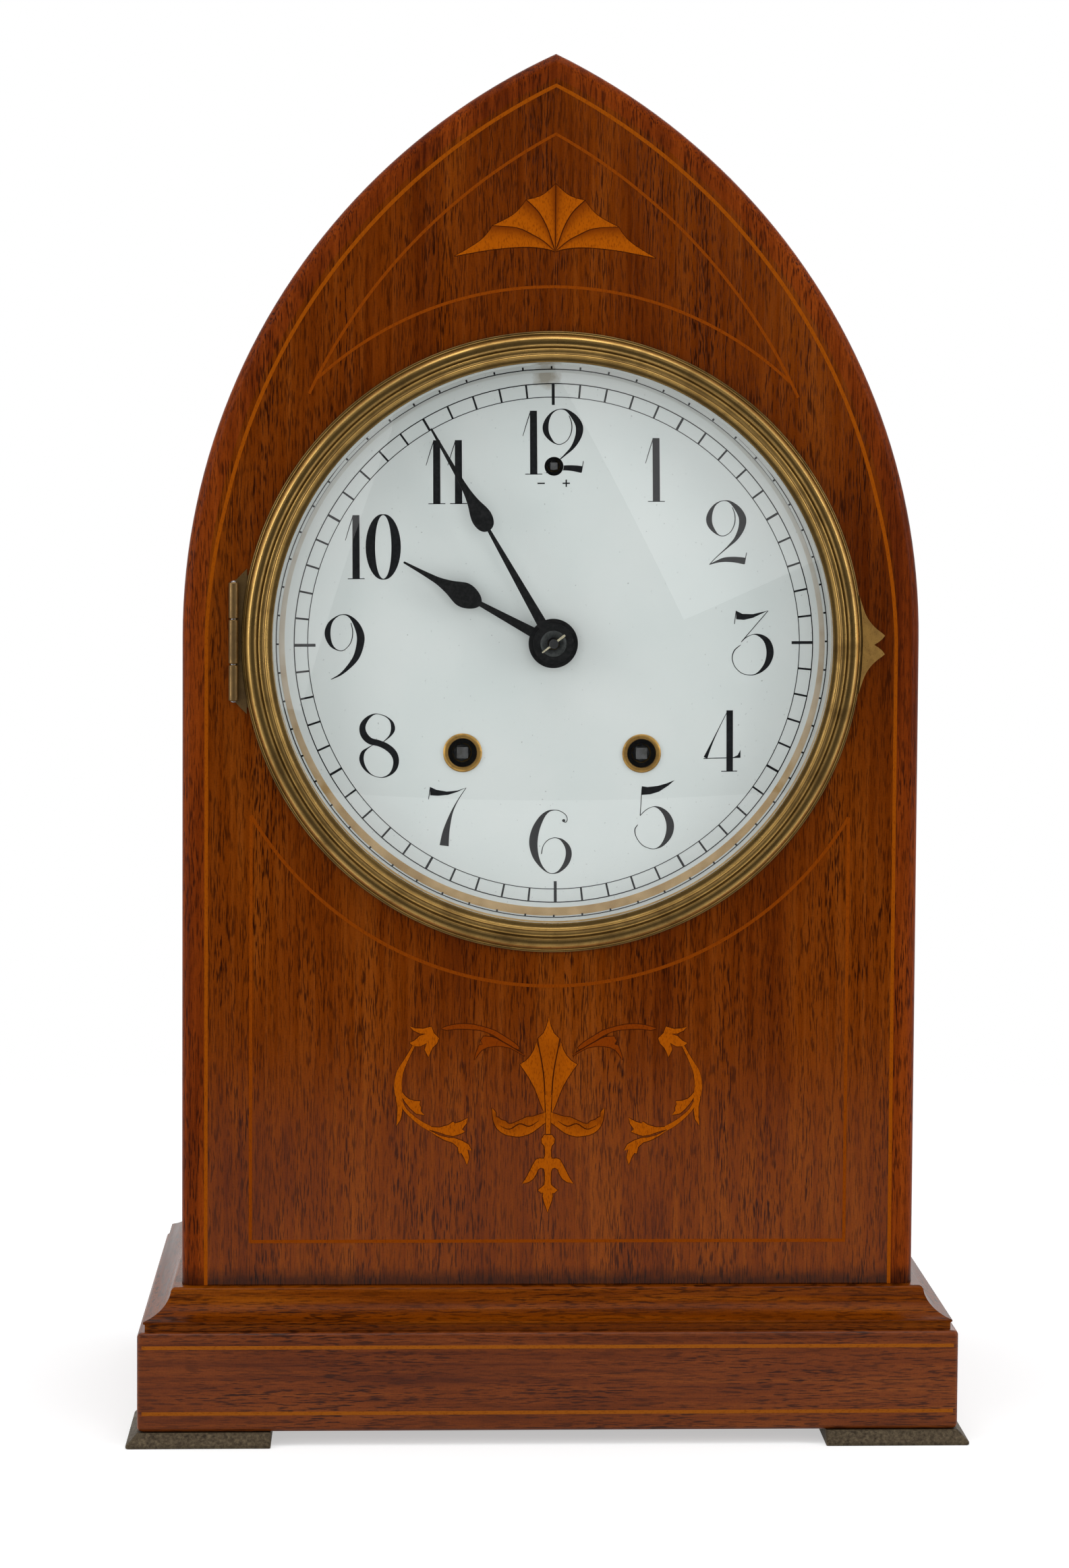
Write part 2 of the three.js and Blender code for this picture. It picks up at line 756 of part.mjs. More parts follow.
// Windows between the spokes of a wheel
function spokeWindows(rim) {
  const windows = [];
  for (let i = 0; i < spokes; i += 1) {
    const from = i * 2 * Math.PI / spokes;
    const to = (i + 1) * 2 * Math.PI / spokes;
    const outer = Math.asin(spokeWidth / 2 / rim);
    const inner = Math.asin(spokeWidth / 2 / hubRadius);
    const rimEdge = arc(0, 0, rim, from + outer, to - outer, windowSteps);
    windows.push([...rimEdge, polar(hubRadius, to - inner), polar(hubRadius, from + inner)]);
  }
  return windows;
}

function wheel(mesh, phase, front, thickness) {
  const rim = mesh.module * (mesh.wheel / 2 - wheelDedendum) - rimWidth;
  const outline = toothOutline(mesh.wheel, mesh.module, phase);
  return prism(outline, front, front + thickness, spokeWindows(rim));
}

function pinion(mesh, phase, front, length) {
  return prism(leafOutline(mesh.pinion, mesh.module, phase), front, front + length);
}

// An arbor running between the plates on thinner pivots
function arbor(front = frontPlateRear + endShake, rear = backPlateFace - endShake) {
  const pivotFront = front - plateThickness;
  const pivotRear = rear + plateThickness;
  return turned([[0, pivotFront], [pivotRadius, pivotFront], [pivotRadius, front], [arborRadius, front],
    [arborRadius, rear], [pivotRadius, rear], [pivotRadius, pivotRear], [0, pivotRear]], pinFacets);
}

// Places of the arbors, from the dial's centre
const along = (from, distance, degrees) => polar(distance, radians(degrees)).add(from);
const towards = (from, to) => Math.atan2(to.y - from.y, to.x - from.x);

// Where two circles about two arbors meet, on the right of the line between them
function meet(a, radiusA, b, radiusB) {
  const span = a.distanceTo(b);
  const forward = (radiusA ** 2 - radiusB ** 2 + span ** 2) / (2 * span);
  const aside = Math.sqrt(radiusA ** 2 - forward ** 2);
  const line = b.clone().sub(a).divideScalar(span);
  return a.clone().addScaledVector(line, forward).add(point(line.y * aside, -line.x * aside));
}

const centreArbor = point(0, 0);
const timeGreat = point(windingX, -windingDrop);
const timeSecond = meet(timeGreat, meshDistance(greatMesh), centreArbor, meshDistance(secondMesh));
const escapeArbor = point(0, escapeRise);
const thirdArbor = meet(centreArbor, meshDistance(centreMesh), escapeArbor, meshDistance(thirdMesh));
const anchorArbor = point(0, escapeRise + escapeRadius * Math.SQRT2);
const minuteArbor = point(0, -meshDistance(minuteMesh));
const regulatorPlace = point(0, regulatorRise);
const strikeGreat = point(-windingX, -windingDrop);
const strikeSecond = along(strikeGreat, meshDistance(greatMesh), strikeSecondAngle);
const strikePin = along(strikeSecond, meshDistance(strikeSecondMesh), strikePinAngle);
const flyArbor = along(strikePin, meshDistance(strikePinMesh), flyAngle);
const hammerArbor = point(hammerX, -hammerDrop);
const behind = (place) => frontPlateRear + place;
const gap = (mesh, from, to) => towards(from, to) + Math.PI + Math.PI / mesh.pinion;

// Plates
const pivoted = [timeSecond, thirdArbor, escapeArbor, strikeSecond, strikePin, flyArbor];
const bearing = (place, radius) => circle(place.x, place.y, radius + pivotClearance, arborFacets);
const pillarX = plateHalfWidth - pillarInset;
const pillarZ = plateHalfHeight - pillarInset;

function frontPlate() {
  const armReach = boardHole + glueLine;
  const inner = plateHalfHeight - plateArm;
  const right = [point(armReach, -plateHalfHeight), point(armReach, -inner), point(plateHalfWidth, -inner),
    point(plateHalfWidth, inner), point(armReach, inner), point(armReach, plateHalfHeight)];
  const holes = [...pivoted, anchorArbor, hammerArbor].map((place) => bearing(place, pivotRadius));
  holes.push(bearing(centreArbor, windingBearing), bearing(regulatorPlace, regulatorArbor));
  holes.push(bearing(timeGreat, windingBearing), bearing(strikeGreat, windingBearing));
  const plate = prism([...right, ...mirrored(right)], frontPlateFace, frontPlateRear, holes);
  const studOutline = circle(minuteArbor.x, minuteArbor.y, arborRadius, arborFacets);
  return join(plate, prism(studOutline, hourWheelFront, frontPlateRear));
}

function backPlate() {
  const outline = rectangle(-plateHalfWidth, plateHalfWidth, -plateHalfHeight, plateHalfHeight);
  const pivots = [...pivoted, centreArbor, timeGreat, strikeGreat];
  const holes = pivots.map((place) => bearing(place, pivotRadius));
  holes.push(bearing(regulatorPlace, regulatorArbor), bearing(anchorArbor, arborRadius));
  holes.push(bearing(hammerArbor, arborRadius));
  const parts = [prism(outline, backPlateFace, backPlateRear, holes)];
  for (const x of [-pillarX, pillarX]) {
    for (const z of [-pillarZ, pillarZ]) {
      const pillar = circle(x, z, pillarRadius, smallFacets);
      parts.push(prism(pillar, frontPlateRear + glueLine, backPlateFace + plateThickness / 2));
    }
  }
  const railX = rackPitch + sliderCheek + sliderSlot + runningGap;
  const railBottom = regulatorRise - sliderHeight;
  parts.push(prism(rectangle(railX, railX + plateThickness, railBottom, regulatorRise + sliderHeight),
    backPlateRear - plateThickness / 2, backPlateRear + rackPlace + rackDepth));
  return join(...parts);
}

// Motion work between the dial and the front plate
const hourWheelFront = dialFace + dialThickness + panSheet + hourWheelGap;
const minuteWheelFront = frontPlateFace - wheelThickness - minuteWheelGap;

function hourWheel() {
  const phase = gap({ pinion: hourMesh.wheel }, minuteArbor, centreArbor);
  const bore = centrePost + pivotClearance;
  const body = prism(toothOutline(hourMesh.wheel, hourMesh.module, phase), hourWheelFront,
    hourWheelFront + wheelThickness, [circle(0, 0, bore, smallFacets)]);
  const front = hourHandDepth - handThickness;
  const pipe = turned([[bore, front], [hourPipe, front], [hourPipe, hourWheelFront + wheelThickness / 2],
    [bore, hourWheelFront + wheelThickness / 2]], smallFacets);
  const clear = prism(circle(0, 0, bore, smallFacets), front - cutMargin, hourWheelFront + 2 * cutMargin);
  return cut(join(body, pipe), clear);
}

function minuteWheel() {
  const phase = gap({ pinion: minuteMesh.wheel }, centreArbor, minuteArbor);
  const body = prism(toothOutline(minuteMesh.wheel, minuteMesh.module, phase), minuteWheelFront,
    minuteWheelFront + wheelThickness);
  const leaves = pinion(hourMesh, towards(minuteArbor, centreArbor), hourWheelFront,
    minuteWheelFront - hourWheelFront + wheelThickness / 2);
  const bore = circle(0, 0, arborRadius + pivotClearance, arborFacets);
  return cut(join(body, leaves), prism(bore, hourWheelFront - cutMargin, frontPlateFace));
}

// The centre arbor carries the minute hand in front and the cannon pinion behind the dial
const handPinDepth = minuteHandDepth - handThickness - washerThickness - handPinSet;
const postFront = handPinDepth - handPinSet;

// Taper pin across the front of the centre arbor
function handPin(radius, length) {
  const pin = new THREE.CylinderGeometry(radius, radius, length, arborFacets);
  return pin.rotateZ(Math.PI / 2).rotateY(-radians(handPinTilt)).translate(0, handPinDepth, 0);
}

function centreWheel() {
  const front = frontPlateRear + endShake;
  const rear = backPlateFace - endShake;
  const collar = minuteWheelFront - runningGap;
  const pivotEnd = rear + plateThickness;
  const core = turned([[0, postFront], [centrePost, postFront], [centrePost, collar],
    [windingBearing, collar], [windingBearing, front], [arborRadius, front], [arborRadius, rear],
    [pivotRadius, rear], [pivotRadius, pivotEnd], [0, pivotEnd]], smallFacets);
  const cannon = pinion(minuteMesh, towards(centreArbor, minuteArbor), minuteWheelFront, wheelThickness);
  const leavesFront = behind(secondWheelPlace) - runningGap;
  const leaves = pinion(secondMesh, gap(secondMesh, timeSecond, centreArbor), leavesFront, pinionLength);
  const phase = towards(centreArbor, thirdArbor);
  const body = wheel(centreMesh, phase, behind(centreWheelPlace), wheelThickness);
  return cut(join(core, cannon, leaves, body), handPin(handPinRadius + pivotClearance, 4 * centrePost));
}

// Hands
function handOutline(stations, shaft, hub) {
  const start = Math.asin(shaft / hub);
  const right = stations.map(([radius, half]) => point(half, radius));
  const round = arc(0, 0, hub, Math.PI / 2 + start, 2.5 * Math.PI - start, largeFacets);
  return [...round, ...right, ...mirrored(right)];
}

function hand(stations, shaft, hub, bore, rear) {
  const hole = circle(0, 0, bore, smallFacets);
  return prism(handOutline(stations, shaft, hub), rear - handThickness, rear, [hole]);
}

function handWasher() {
  const rear = minuteHandDepth - handThickness - glueLine;
  const front = rear - washerThickness;
  const bore = centrePost + pivotClearance;
  return turned([[bore, front], [washerRadius, front], [washerRadius, rear], [bore, rear]], largeFacets);
}

const hourPiece = hand(hourHand, hourShaft, hourHub, hourPipe + pivotClearance, hourHandDepth);
const minutePiece = hand(minuteHand, minuteShaft, minuteHub, centrePost + pivotClearance, minuteHandDepth);
piece(centred, 'hour_hand', 'blued', hourPiece).rotation.y = radians(hourAngle);
piece(centred, 'minute_hand', 'blued', minutePiece).rotation.y = radians(minuteAngle);
piece(centred, 'hand_washer', 'steel', handWasher());
piece(centred, 'hand_pin', 'steel', handPin(handPinRadius, handPinLength));

// Movement frame and going train
function at(mesh, place) {
  mesh.position.set(place.x, 0, place.y);
}

// A pinion and a wheel on one arbor, driven from one side and driving the other
function wheelAndPinion(driven, driver, from, place, to, driverPlace, wheelPlace) {
  const leavesFront = behind(driverPlace) - (pinionLength - wheelThickness) / 2;
  const leaves = pinion(driven, gap(driven, from, place), leavesFront, pinionLength);
  const body = wheel(driver, towards(place, to), behind(wheelPlace), wheelThickness);
  return join(arbor(), leaves, body);
}

// The great wheel turns on the winding arbor and carries the click's stud
function greatWheel(place, next) {
  const front = behind(greatPlace);
  const body = wheel(greatMesh, towards(place, next), front, greatThickness);
  const studPlace = polar(clickPivot, radians(clickAngle));
  const rear = front + greatThickness;
  const studOutline = circle(studPlace.x, studPlace.y, pivotRadius, arborFacets);
  const stud = prism(studOutline, behind(ratchetPlace), front + greatThickness / 2);
  const seat = prism(circle(studPlace.x, studPlace.y, spokeWidth, arborFacets), front, rear);
  const hub = prism(circle(0, 0, greatHub, middleFacets), front, rear);
  const bore = circle(0, 0, windingArbor + pivotClearance, middleFacets);
  return cut(join(body, seat, stud, hub), prism(bore, front - cutMargin, rear + cutMargin));
}

// Winding arbor: square in front, ratchet wheel, plain core inside the spring
function windingArborSolid() {
  const front = frontPlateRear + endShake;
  const rear = backPlateFace - endShake;
  const half = windingSquare / 2;
  const square = prism(rectangle(-half, half, -half, half), windingTip, frontPlateFace);
  const start = frontPlateFace - shoulder;
  const pivotEnd = rear + plateThickness;
  const core = turned([[0, start], [windingBearing, start], [windingBearing, front], [windingArbor, front],
    [windingArbor, rear], [pivotRadius, rear], [pivotRadius, pivotEnd], [0, pivotEnd]], smallFacets);
  const teeth = sawOutline(ratchetTeeth, ratchetRadius, ratchetRoot, ratchetSteep);
  return join(square, core, prism(teeth, behind(ratchetPlace), behind(ratchetPlace) + ratchetThickness));
}

// The click lies beside the ratchet, its nose just clear of the teeth
function click() {
  const studPlace = polar(clickPivot, radians(clickAngle));
  const nose = polar(ratchetRadius + runningGap, radians(clickAngle) + clickLength / clickPivot);
  const line = nose.clone().sub(studPlace).normalize();
  const side = point(-line.y, line.x).multiplyScalar(spokeWidth);
  const eye = arc(studPlace.x, studPlace.y, spokeWidth, towards(nose, studPlace) - Math.PI / 2,
    towards(nose, studPlace) + Math.PI / 2, arborFacets);
  const outline = [...eye, studPlace.clone().lerp(nose, clickBelly).sub(side), nose];
  const bore = bearing(studPlace, pivotRadius);
  const front = behind(ratchetPlace) + (ratchetThickness - clickThickness) / 2;
  return prism(outline, front, front + clickThickness, [bore]);
}

// Open mainspring: a spiral strip whose outer end runs out to the nearest pillar
function mainspring(side) {
  const pillar = point(pillarX - windingX, windingDrop - pillarZ);
  const pillarEdge = pillar.length() - pillarRadius - springStrip - runningGap;
  const last = springTurns * springSteps;
  const centreline = [];
  for (let i = 0; i <= last; i += 1) {
    const coil = springInner + (springOuter - springInner) * i / last;
    const ease = Math.max(0, (i - last + springSteps / 2) / (springSteps / 2));
    const radius = coil + (pillarEdge - springOuter) * ease ** 2;
    centreline.push([radius, Math.atan2(pillar.y, pillar.x) + (i - last) * 2 * Math.PI / springSteps]);
  }
  const edge = (shift) => centreline.map(([radius, angle]) => polar(radius + shift, angle));
  let least = Infinity;
  for (let i = 0; i + springSteps <= last; i += 1) {
    least = Math.min(least, centreline[i + springSteps][0] - centreline[i][0] - springStrip);
  }
  console.log(`mainspring ${side}: least gap between turns ${least.toFixed(2)} mm`);
  const outline = [...edge(springStrip / 2), ...edge(-springStrip / 2).reverse()];
  const placed = side < 0 ? mirrored(outline) : outline;
  return prism(placed, behind(springPlace), behind(springPlace) + springWidth);
}

function escapeWheel() {
  const leavesFront = behind(thirdWheelPlace) - (pinionLength - wheelThickness) / 2;
  const leaves = pinion(thirdMesh, gap(thirdMesh, thirdArbor, escapeArbor), leavesFront, pinionLength);
  const teeth = sawOutline(escapeTeeth, escapeRadius, escapeRoot, escapeSteep);
  const front = behind(escapeWheelPlace);
  const body = prism(teeth, front, front + wheelThickness, spokeWindows(escapeRoot - rimWidth));
  return join(arbor(), leaves, body);
}

// Strip pallets astride the escape wheel, with the crutch behind the back plate
function anchor() {
  const reach = (escapeRadius + palletClearance) * Math.SQRT1_2;
  const pallet = point(reach, reach - escapeRadius * Math.SQRT2);
  const half = anchorWidth / 2;
  const right = [point(pallet.x, pallet.y), point(pallet.x + half, pallet.y + half),
    point(pallet.x * anchorElbow, -anchorStrip), point(half, anchorStrip + half)];
  const inner = [point(-half, -anchorStrip), point(half, -anchorStrip)];
  const front = behind(escapeWheelPlace) + (wheelThickness - anchorWidth) / 2;
  const strip = prism([...right, ...mirrored(right), ...inner], front, front + anchorWidth);
  const armFront = backPlateRear + crutchPlace;
  const armRear = armFront + crutchThickness;
  const pivotEnd = frontPlateRear + endShake;
  const pivotStart = pivotEnd - plateThickness;
  const shaftEnd = armFront + crutchThickness / 2;
  const shaft = turned([[0, pivotStart], [pivotRadius, pivotStart], [pivotRadius, pivotEnd],
    [arborRadius, pivotEnd], [arborRadius, shaftEnd], [0, shaftEnd]], arborFacets);
  const armOutline = rectangle(-crutchHalfWidth, crutchHalfWidth, -crutchLength, crutchHalfWidth);
  const arm = prism(armOutline, armFront, armRear);
  const prongInner = rodHalfWidth + runningGap;
  const prongs = [-1, 1].map((side) => {
    const x = [side * prongInner, side * (prongInner + crutchHalfWidth)].sort((a, b) => a - b);
    const outline = rectangle(x[0], x[1], -crutchLength, crutchHalfWidth - crutchLength);
    return prism(outline, armFront, armRear + crutchFork);
  });
  return join(strip, shaft, arm, ...prongs);
}

piece(centred, 'front_plate', 'brass', frontPlate());
piece(centred, 'back_plate', 'brass', backPlate());
const trains = [['time', timeGreat, timeSecond, 1], ['strike', strikeGreat, strikeSecond, -1]];
for (const [name, place, next, side] of trains) {
  at(piece(centred, `${name}_great_wheel`, 'brass', greatWheel(place, next)), place);
  at(piece(centred, `${name}_winding_arbor`, 'steel', windingArborSolid()), place);
  at(piece(centred, `${name}_click`, 'steel', click()), place);
  at(piece(centred, `${name}_mainspring`, 'steel', mainspring(side)), place);
}
at(piece(centred, 'time_second_wheel', 'brass', wheelAndPinion(greatMesh, secondMesh, timeGreat, timeSecond,
  centreArbor, greatPlace, secondWheelPlace)), timeSecond);
piece(centred, 'centre_wheel', 'brass', centreWheel());
at(piece(centred, 'third_wheel', 'brass', wheelAndPinion(centreMesh, thirdMesh, centreArbor, thirdArbor,
  escapeArbor, centreWheelPlace, thirdWheelPlace)), thirdArbor);
at(piece(centred, 'escape_wheel', 'brass', escapeWheel()), escapeArbor);
at(piece(centred, 'anchor', 'steel', anchor()), anchorArbor);
at(piece(centred, 'minute_wheel', 'brass', minuteWheel()), minuteArbor);
piece(centred, 'hour_wheel', 'brass', hourWheel());

// Strike train
function pinWheel() {
  const body = wheelAndPinion(strikeSecondMesh, strikePinMesh, strikeSecond, strikePin, flyArbor,
    secondWheelPlace, pinWheelPlace);
  const rear = behind(pinWheelPlace) + wheelThickness;
  const pins = [];
  for (let i = 0; i < strikePins; i += 1) {
    const place = polar(strikePinCircle, i * 2 * Math.PI / strikePins);
    const outline = circle(place.x, place.y, strikePinRadius, pinFacets);
    pins.push(prism(outline, rear - wheelThickness / 2, rear + strikePinLength));
  }
  return join(body, ...pins);
}

function fly() {
  const leavesFront = behind(pinWheelPlace) - (pinionLength - wheelThickness) / 2;
  const leaves = pinion(strikePinMesh, gap(strikePinMesh, strikePin, flyArbor), leavesFront, pinionLength);
  const half = flyThickness / 2;
  const vaneFront = behind(flyPlace);
  const vane = prism(rectangle(-flyRadius, flyRadius, -half, half), vaneFront, vaneFront + flyLength);
  return join(arbor(), leaves, vane);
}

at(piece(centred, 'strike_second_wheel', 'brass', wheelAndPinion(greatMesh, strikeSecondMesh, strikeGreat,
  strikeSecond, strikePin, greatPlace, secondWheelPlace)), strikeSecond);
at(piece(centred, 'strike_pin_wheel', 'brass', pinWheel()), strikePin);
at(piece(centred, 'strike_fly', 'brass', fly()), flyArbor);

// Pendulum on its suspension, with the regulator that slides the slot
const rodDepthMiddle = backPlateRear + pendulumPlace;
const rodFront = rodDepthMiddle - rodDepth / 2;
const rodRear = rodDepthMiddle + rodDepth / 2;

function pendulumRod() {
  const top = anchorArbor.y - runningGap;
  const bottom = anchorArbor.y - pendulumLength + bobRadius * bobNeck;
  return prism(rectangle(-rodHalfWidth, rodHalfWidth, bottom, top), rodFront, rodRear);
}

function pendulumBob() {
  const half = bobThickness / 2;
  const rim = bobThickness / 6;
  const step = bobRadius * bobShoulder;
  const crown = half * bobCrown;
  const disc = turned([[0, -half], [step, -crown], [bobRadius, -rim], [bobRadius, rim], [step, crown],
    [0, half]], bobFacets);
  const slot = rodHalfWidth + runningGap;
  const seat = rectangle(-slot, slot, bobRadius * bobNeck - runningGap, bobRadius + cutMargin);
  return cut(disc, prism(seat, -rodDepth / 2 - runningGap, rodDepth / 2 + runningGap));
}

function suspensionPost() {
  const bottom = regulatorRise + postRise;
  const strip = prism(rectangle(-suspensionStrip, suspensionStrip, anchorArbor.y, bottom + postHeight / 2),
    rodDepthMiddle - suspensionWidth / 2, rodDepthMiddle + suspensionWidth / 2);
  const post = prism(rectangle(-postHalfWidth, postHalfWidth, bottom, bottom + postHeight),
    backPlateRear + glueLine, rodDepthMiddle + suspensionWidth);
  return join(post, strip);
}

// The rack stands to the right of the regulator's pinion
function rackOutline() {
  const pitch = Math.PI * rackModule;
  const tip = rackPitch - rackModule * addendum;
  const root = rackPitch + rackModule * leafDedendum;
  const start = regulatorRise - (rackTeeth - 1) / 2 * pitch - pitch / 2;
  const points = [];
  for (let i = rackTeeth; i >= 0; i -= 1) {
    const middle = start + i * pitch;
    points.push(point(root, middle + rootShare * pitch), point(tip, middle + tipShare * pitch));
    points.push(point(tip, middle - tipShare * pitch), point(root, middle - rootShare * pitch));
  }
  const back = rackPitch + sliderCheek + sliderSlot;
  return [...points, point(back, points.at(-1).y), point(back, points[0].y)];
}

function suspensionSlider() {
  const bottom = regulatorRise - sliderHeight / 2;
  const top = regulatorRise + sliderHeight / 2;
  const rack = prism(rackOutline(), backPlateRear + rackPlace, backPlateRear + rackPlace + rackDepth);
  const front = backPlateRear + rackPlace + rackDepth - glueLine;
  const rear = rodDepthMiddle + suspensionWidth;
  const back = rackPitch + sliderCheek + sliderSlot;
  const block = prism(rectangle(-sliderCheek - sliderSlot, back, bottom, top), front + sliderStep, rear);
  const neckOutline = rectangle(back - sliderCheek, back, bottom, top);
  const neck = prism(neckOutline, front - glueLine, front + 2 * sliderStep);
  const slotOutline = rectangle(-sliderSlot, sliderSlot, bottom - cutMargin, top + cutMargin);
  const slot = prism(slotOutline, front, rodDepthMiddle + suspensionWidth / 2 + runningGap);
  return join(cut(block, slot), rack, neck);
}

function regulatorArborSolid() {
  const half = regulatorSquare / 2;
  const square = prism(rectangle(-half, half, -half, half), windingTip, frontPlateFace);
  const rear = backPlateRear + rackPlace + rackDepth;
  const outline = circle(0, 0, regulatorArbor, arborFacets);
  const shaft = prism(outline, frontPlateFace - shoulder, rear - glueLine);
  const leaves = prism(leafOutline(rackLeaves, rackModule, 0), backPlateRear + rackPlace, rear);
  return join(square, shaft, leaves);
}

piece(centred, 'pendulum_rod', 'steel', pendulumRod());
const bob = piece(centred, 'pendulum_bob', 'brass', pendulumBob());
bob.position.set(0, rodDepthMiddle, anchorArbor.y - pendulumLength);
piece(centred, 'suspension_post', 'brass', suspensionPost());
piece(centred, 'suspension_slider', 'brass', suspensionSlider());
at(piece(centred, 'regulator_arbor', 'steel', regulatorArborSolid()), regulatorPlace);

// Coil gong: a flat spiral of round wire, its inner end straight into the stand's boss
class GongCurve extends THREE.Curve {
  getPoint(t, target = new THREE.Vector3()) {
    const straight = 2 * gongWire;
    const turnLength = Math.PI * (gongInner + gongOuter) * gongTurns;
    const share = straight / (straight + turnLength);
    if (t < share) return target.set(gongInner, 0, -straight * (1 - t / share));
    const turn = (t - share) / (1 - share);
    const place = polar(gongInner + (gongOuter - gongInner) * turn, turn * gongTurns * 2 * Math.PI);
    return target.set(place.x, 0, place.y);
  }
}

function gong() {
  const curve = new GongCurve();
  const points = curve.getPoints(gongTurns * gongSteps);
  let least = Infinity;
  points.forEach((p, i) => points.slice(i + gongSteps / 2).forEach((q) => {
    least = Math.min(least, p.distanceTo(q) - 2 * gongWire);
  }));
  console.log(`gong: least gap between turns ${least.toFixed(2)} mm`);
  return wire(curve, gongWire, gongTurns * gongSteps, gongFacets);
}

const gongDepth = backPlateRear + gongPlace;

function gongStand() {
  const bossTop = gongHeight - 2 * gongWire - runningGap;
  const left = gongInner - gongBossWidth / 2;
  const right = gongInner + gongBossWidth / 2;
  const columnFront = gongDepth + 2 * gongWire + runningGap;
  const columnRear = columnFront + gongStandThickness;
  const bossOutline = rectangle(left, right, bossTop - gongBossHeight, bossTop);
  const boss = prism(bossOutline, gongDepth - 2 * gongWire, columnRear);
  const floorTop = caseBottom + floorThickness + glueLine;
  const column = prism(rectangle(left, right, floorTop, bossTop), columnFront, columnRear);
  const footTop = floorTop + gongStandThickness / 2;
  const footOutline = rectangle(gongInner - gongFoot, gongInner + gongFoot, floorTop, footTop);
  const base = prism(footOutline, columnFront - gongFoot / 2, columnRear + gongFoot / 2);
  return join(boss, column, base);
}

piece(cased, 'gong', 'steel', gong()).position.set(0, gongDepth, gongHeight);
piece(cased, 'gong_stand', 'bronze', gongStand());

// Hammer: arbor between the plates, wire arm to the gong, tail towards the strike pins
function hammer() {
  const armDepth = backPlateRear + hammerPlace;
  const headX = -gongOuter - gongWire - hammerGap - hammerHeadLength / 2 - hammerX;
  const headZ = gongHeight - dialHeight + hammerDrop;
  const arm = new THREE.CatmullRomCurve3([
    new THREE.Vector3(0, armDepth, 0),
    new THREE.Vector3(0, armDepth, headZ / 2),
    new THREE.Vector3(headX / 2, (armDepth + gongDepth) / 2, headZ * hammerBend),
    new THREE.Vector3(headX, gongDepth, headZ),
  ]);
  const head = new THREE.CylinderGeometry(hammerHeadRadius, hammerHeadRadius, hammerHeadLength,
    middleFacets);
  head.rotateZ(Math.PI / 2).translate(headX, gongDepth, headZ);
  const front = frontPlateRear + endShake;
  const pivotStart = front - plateThickness;
  const end = armDepth + hammerWire;
  const shaft = turned([[0, pivotStart], [pivotRadius, pivotStart], [pivotRadius, front],
    [arborRadius, front], [arborRadius, end], [0, end]], arborFacets);
  const boss = prism(circle(0, 0, 2 * hammerWire, smallFacets), armDepth - hammerWire, end);
  const tailFront = behind(pinWheelPlace) + wheelThickness + runningGap;
  const tailRear = tailFront + strikePinLength - runningGap;
  const pinReach = strikePinCircle + strikePinRadius + hammerTailGap;
  const tailLength = hammerArbor.distanceTo(strikePin) - pinReach;
  const tail = prism(rectangle(0, tailLength, -hammerWire, hammerWire), tailFront, tailRear);
  tail.rotateY(-towards(hammerArbor, strikePin));
  return join(shaft, boss, wire(arm, hammerWire, hammerSteps, pinFacets), head, tail);
}

at(piece(centred, 'hammer', 'steel', hammer()), hammerArbor);

export default clock;
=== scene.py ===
"""Looks of the lancet mantel clock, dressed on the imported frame.

Lengths are millimetres until a mesh is made. Depths count back from the front board's face."""

from math import acos, asin, atan2, cos, dist, exp, hypot, pi, radians, sin, sqrt

import bmesh
import bpy
from mathutils import Matrix, Quaternion, Vector
from mathutils.geometry import delaunay_2d_cdt, tessellate_polygon


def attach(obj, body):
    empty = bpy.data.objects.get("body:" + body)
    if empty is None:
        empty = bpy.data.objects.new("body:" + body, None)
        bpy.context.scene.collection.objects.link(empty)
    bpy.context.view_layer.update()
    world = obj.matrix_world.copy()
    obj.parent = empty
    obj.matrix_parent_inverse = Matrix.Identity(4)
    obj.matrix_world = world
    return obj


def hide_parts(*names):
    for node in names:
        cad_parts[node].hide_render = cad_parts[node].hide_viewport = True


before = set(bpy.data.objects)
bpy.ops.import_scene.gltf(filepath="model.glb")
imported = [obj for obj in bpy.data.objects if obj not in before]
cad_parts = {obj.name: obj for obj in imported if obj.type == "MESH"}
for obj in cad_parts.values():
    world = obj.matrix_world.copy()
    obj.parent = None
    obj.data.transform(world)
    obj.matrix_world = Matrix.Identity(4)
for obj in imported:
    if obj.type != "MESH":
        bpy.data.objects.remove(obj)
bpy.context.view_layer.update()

MM = 0.001

# The front board's face and its thickness
FRONT, BOARD = -62.0, 12.0

# The lancet outline: half its width, its foot, where its arcs start, how far past the middle they centre
HALF, BASE, SPRING, CENTRE = 100.1, 41.8, 218.5, 73.86

# The dial's middle and depth, and the places of its holes
DIAL_Z, DIAL_DEPTH = 217.4, 4.0
WINDING_X, WINDING_Z = 24.0, DIAL_Z - 29.5
REGULATOR_Z = DIAL_Z + 47.2


def placed(name, data):
    """A new object in the scene."""
    thing = bpy.data.objects.new(name, data)
    bpy.context.scene.collection.objects.link(thing)
    return thing


# Camera

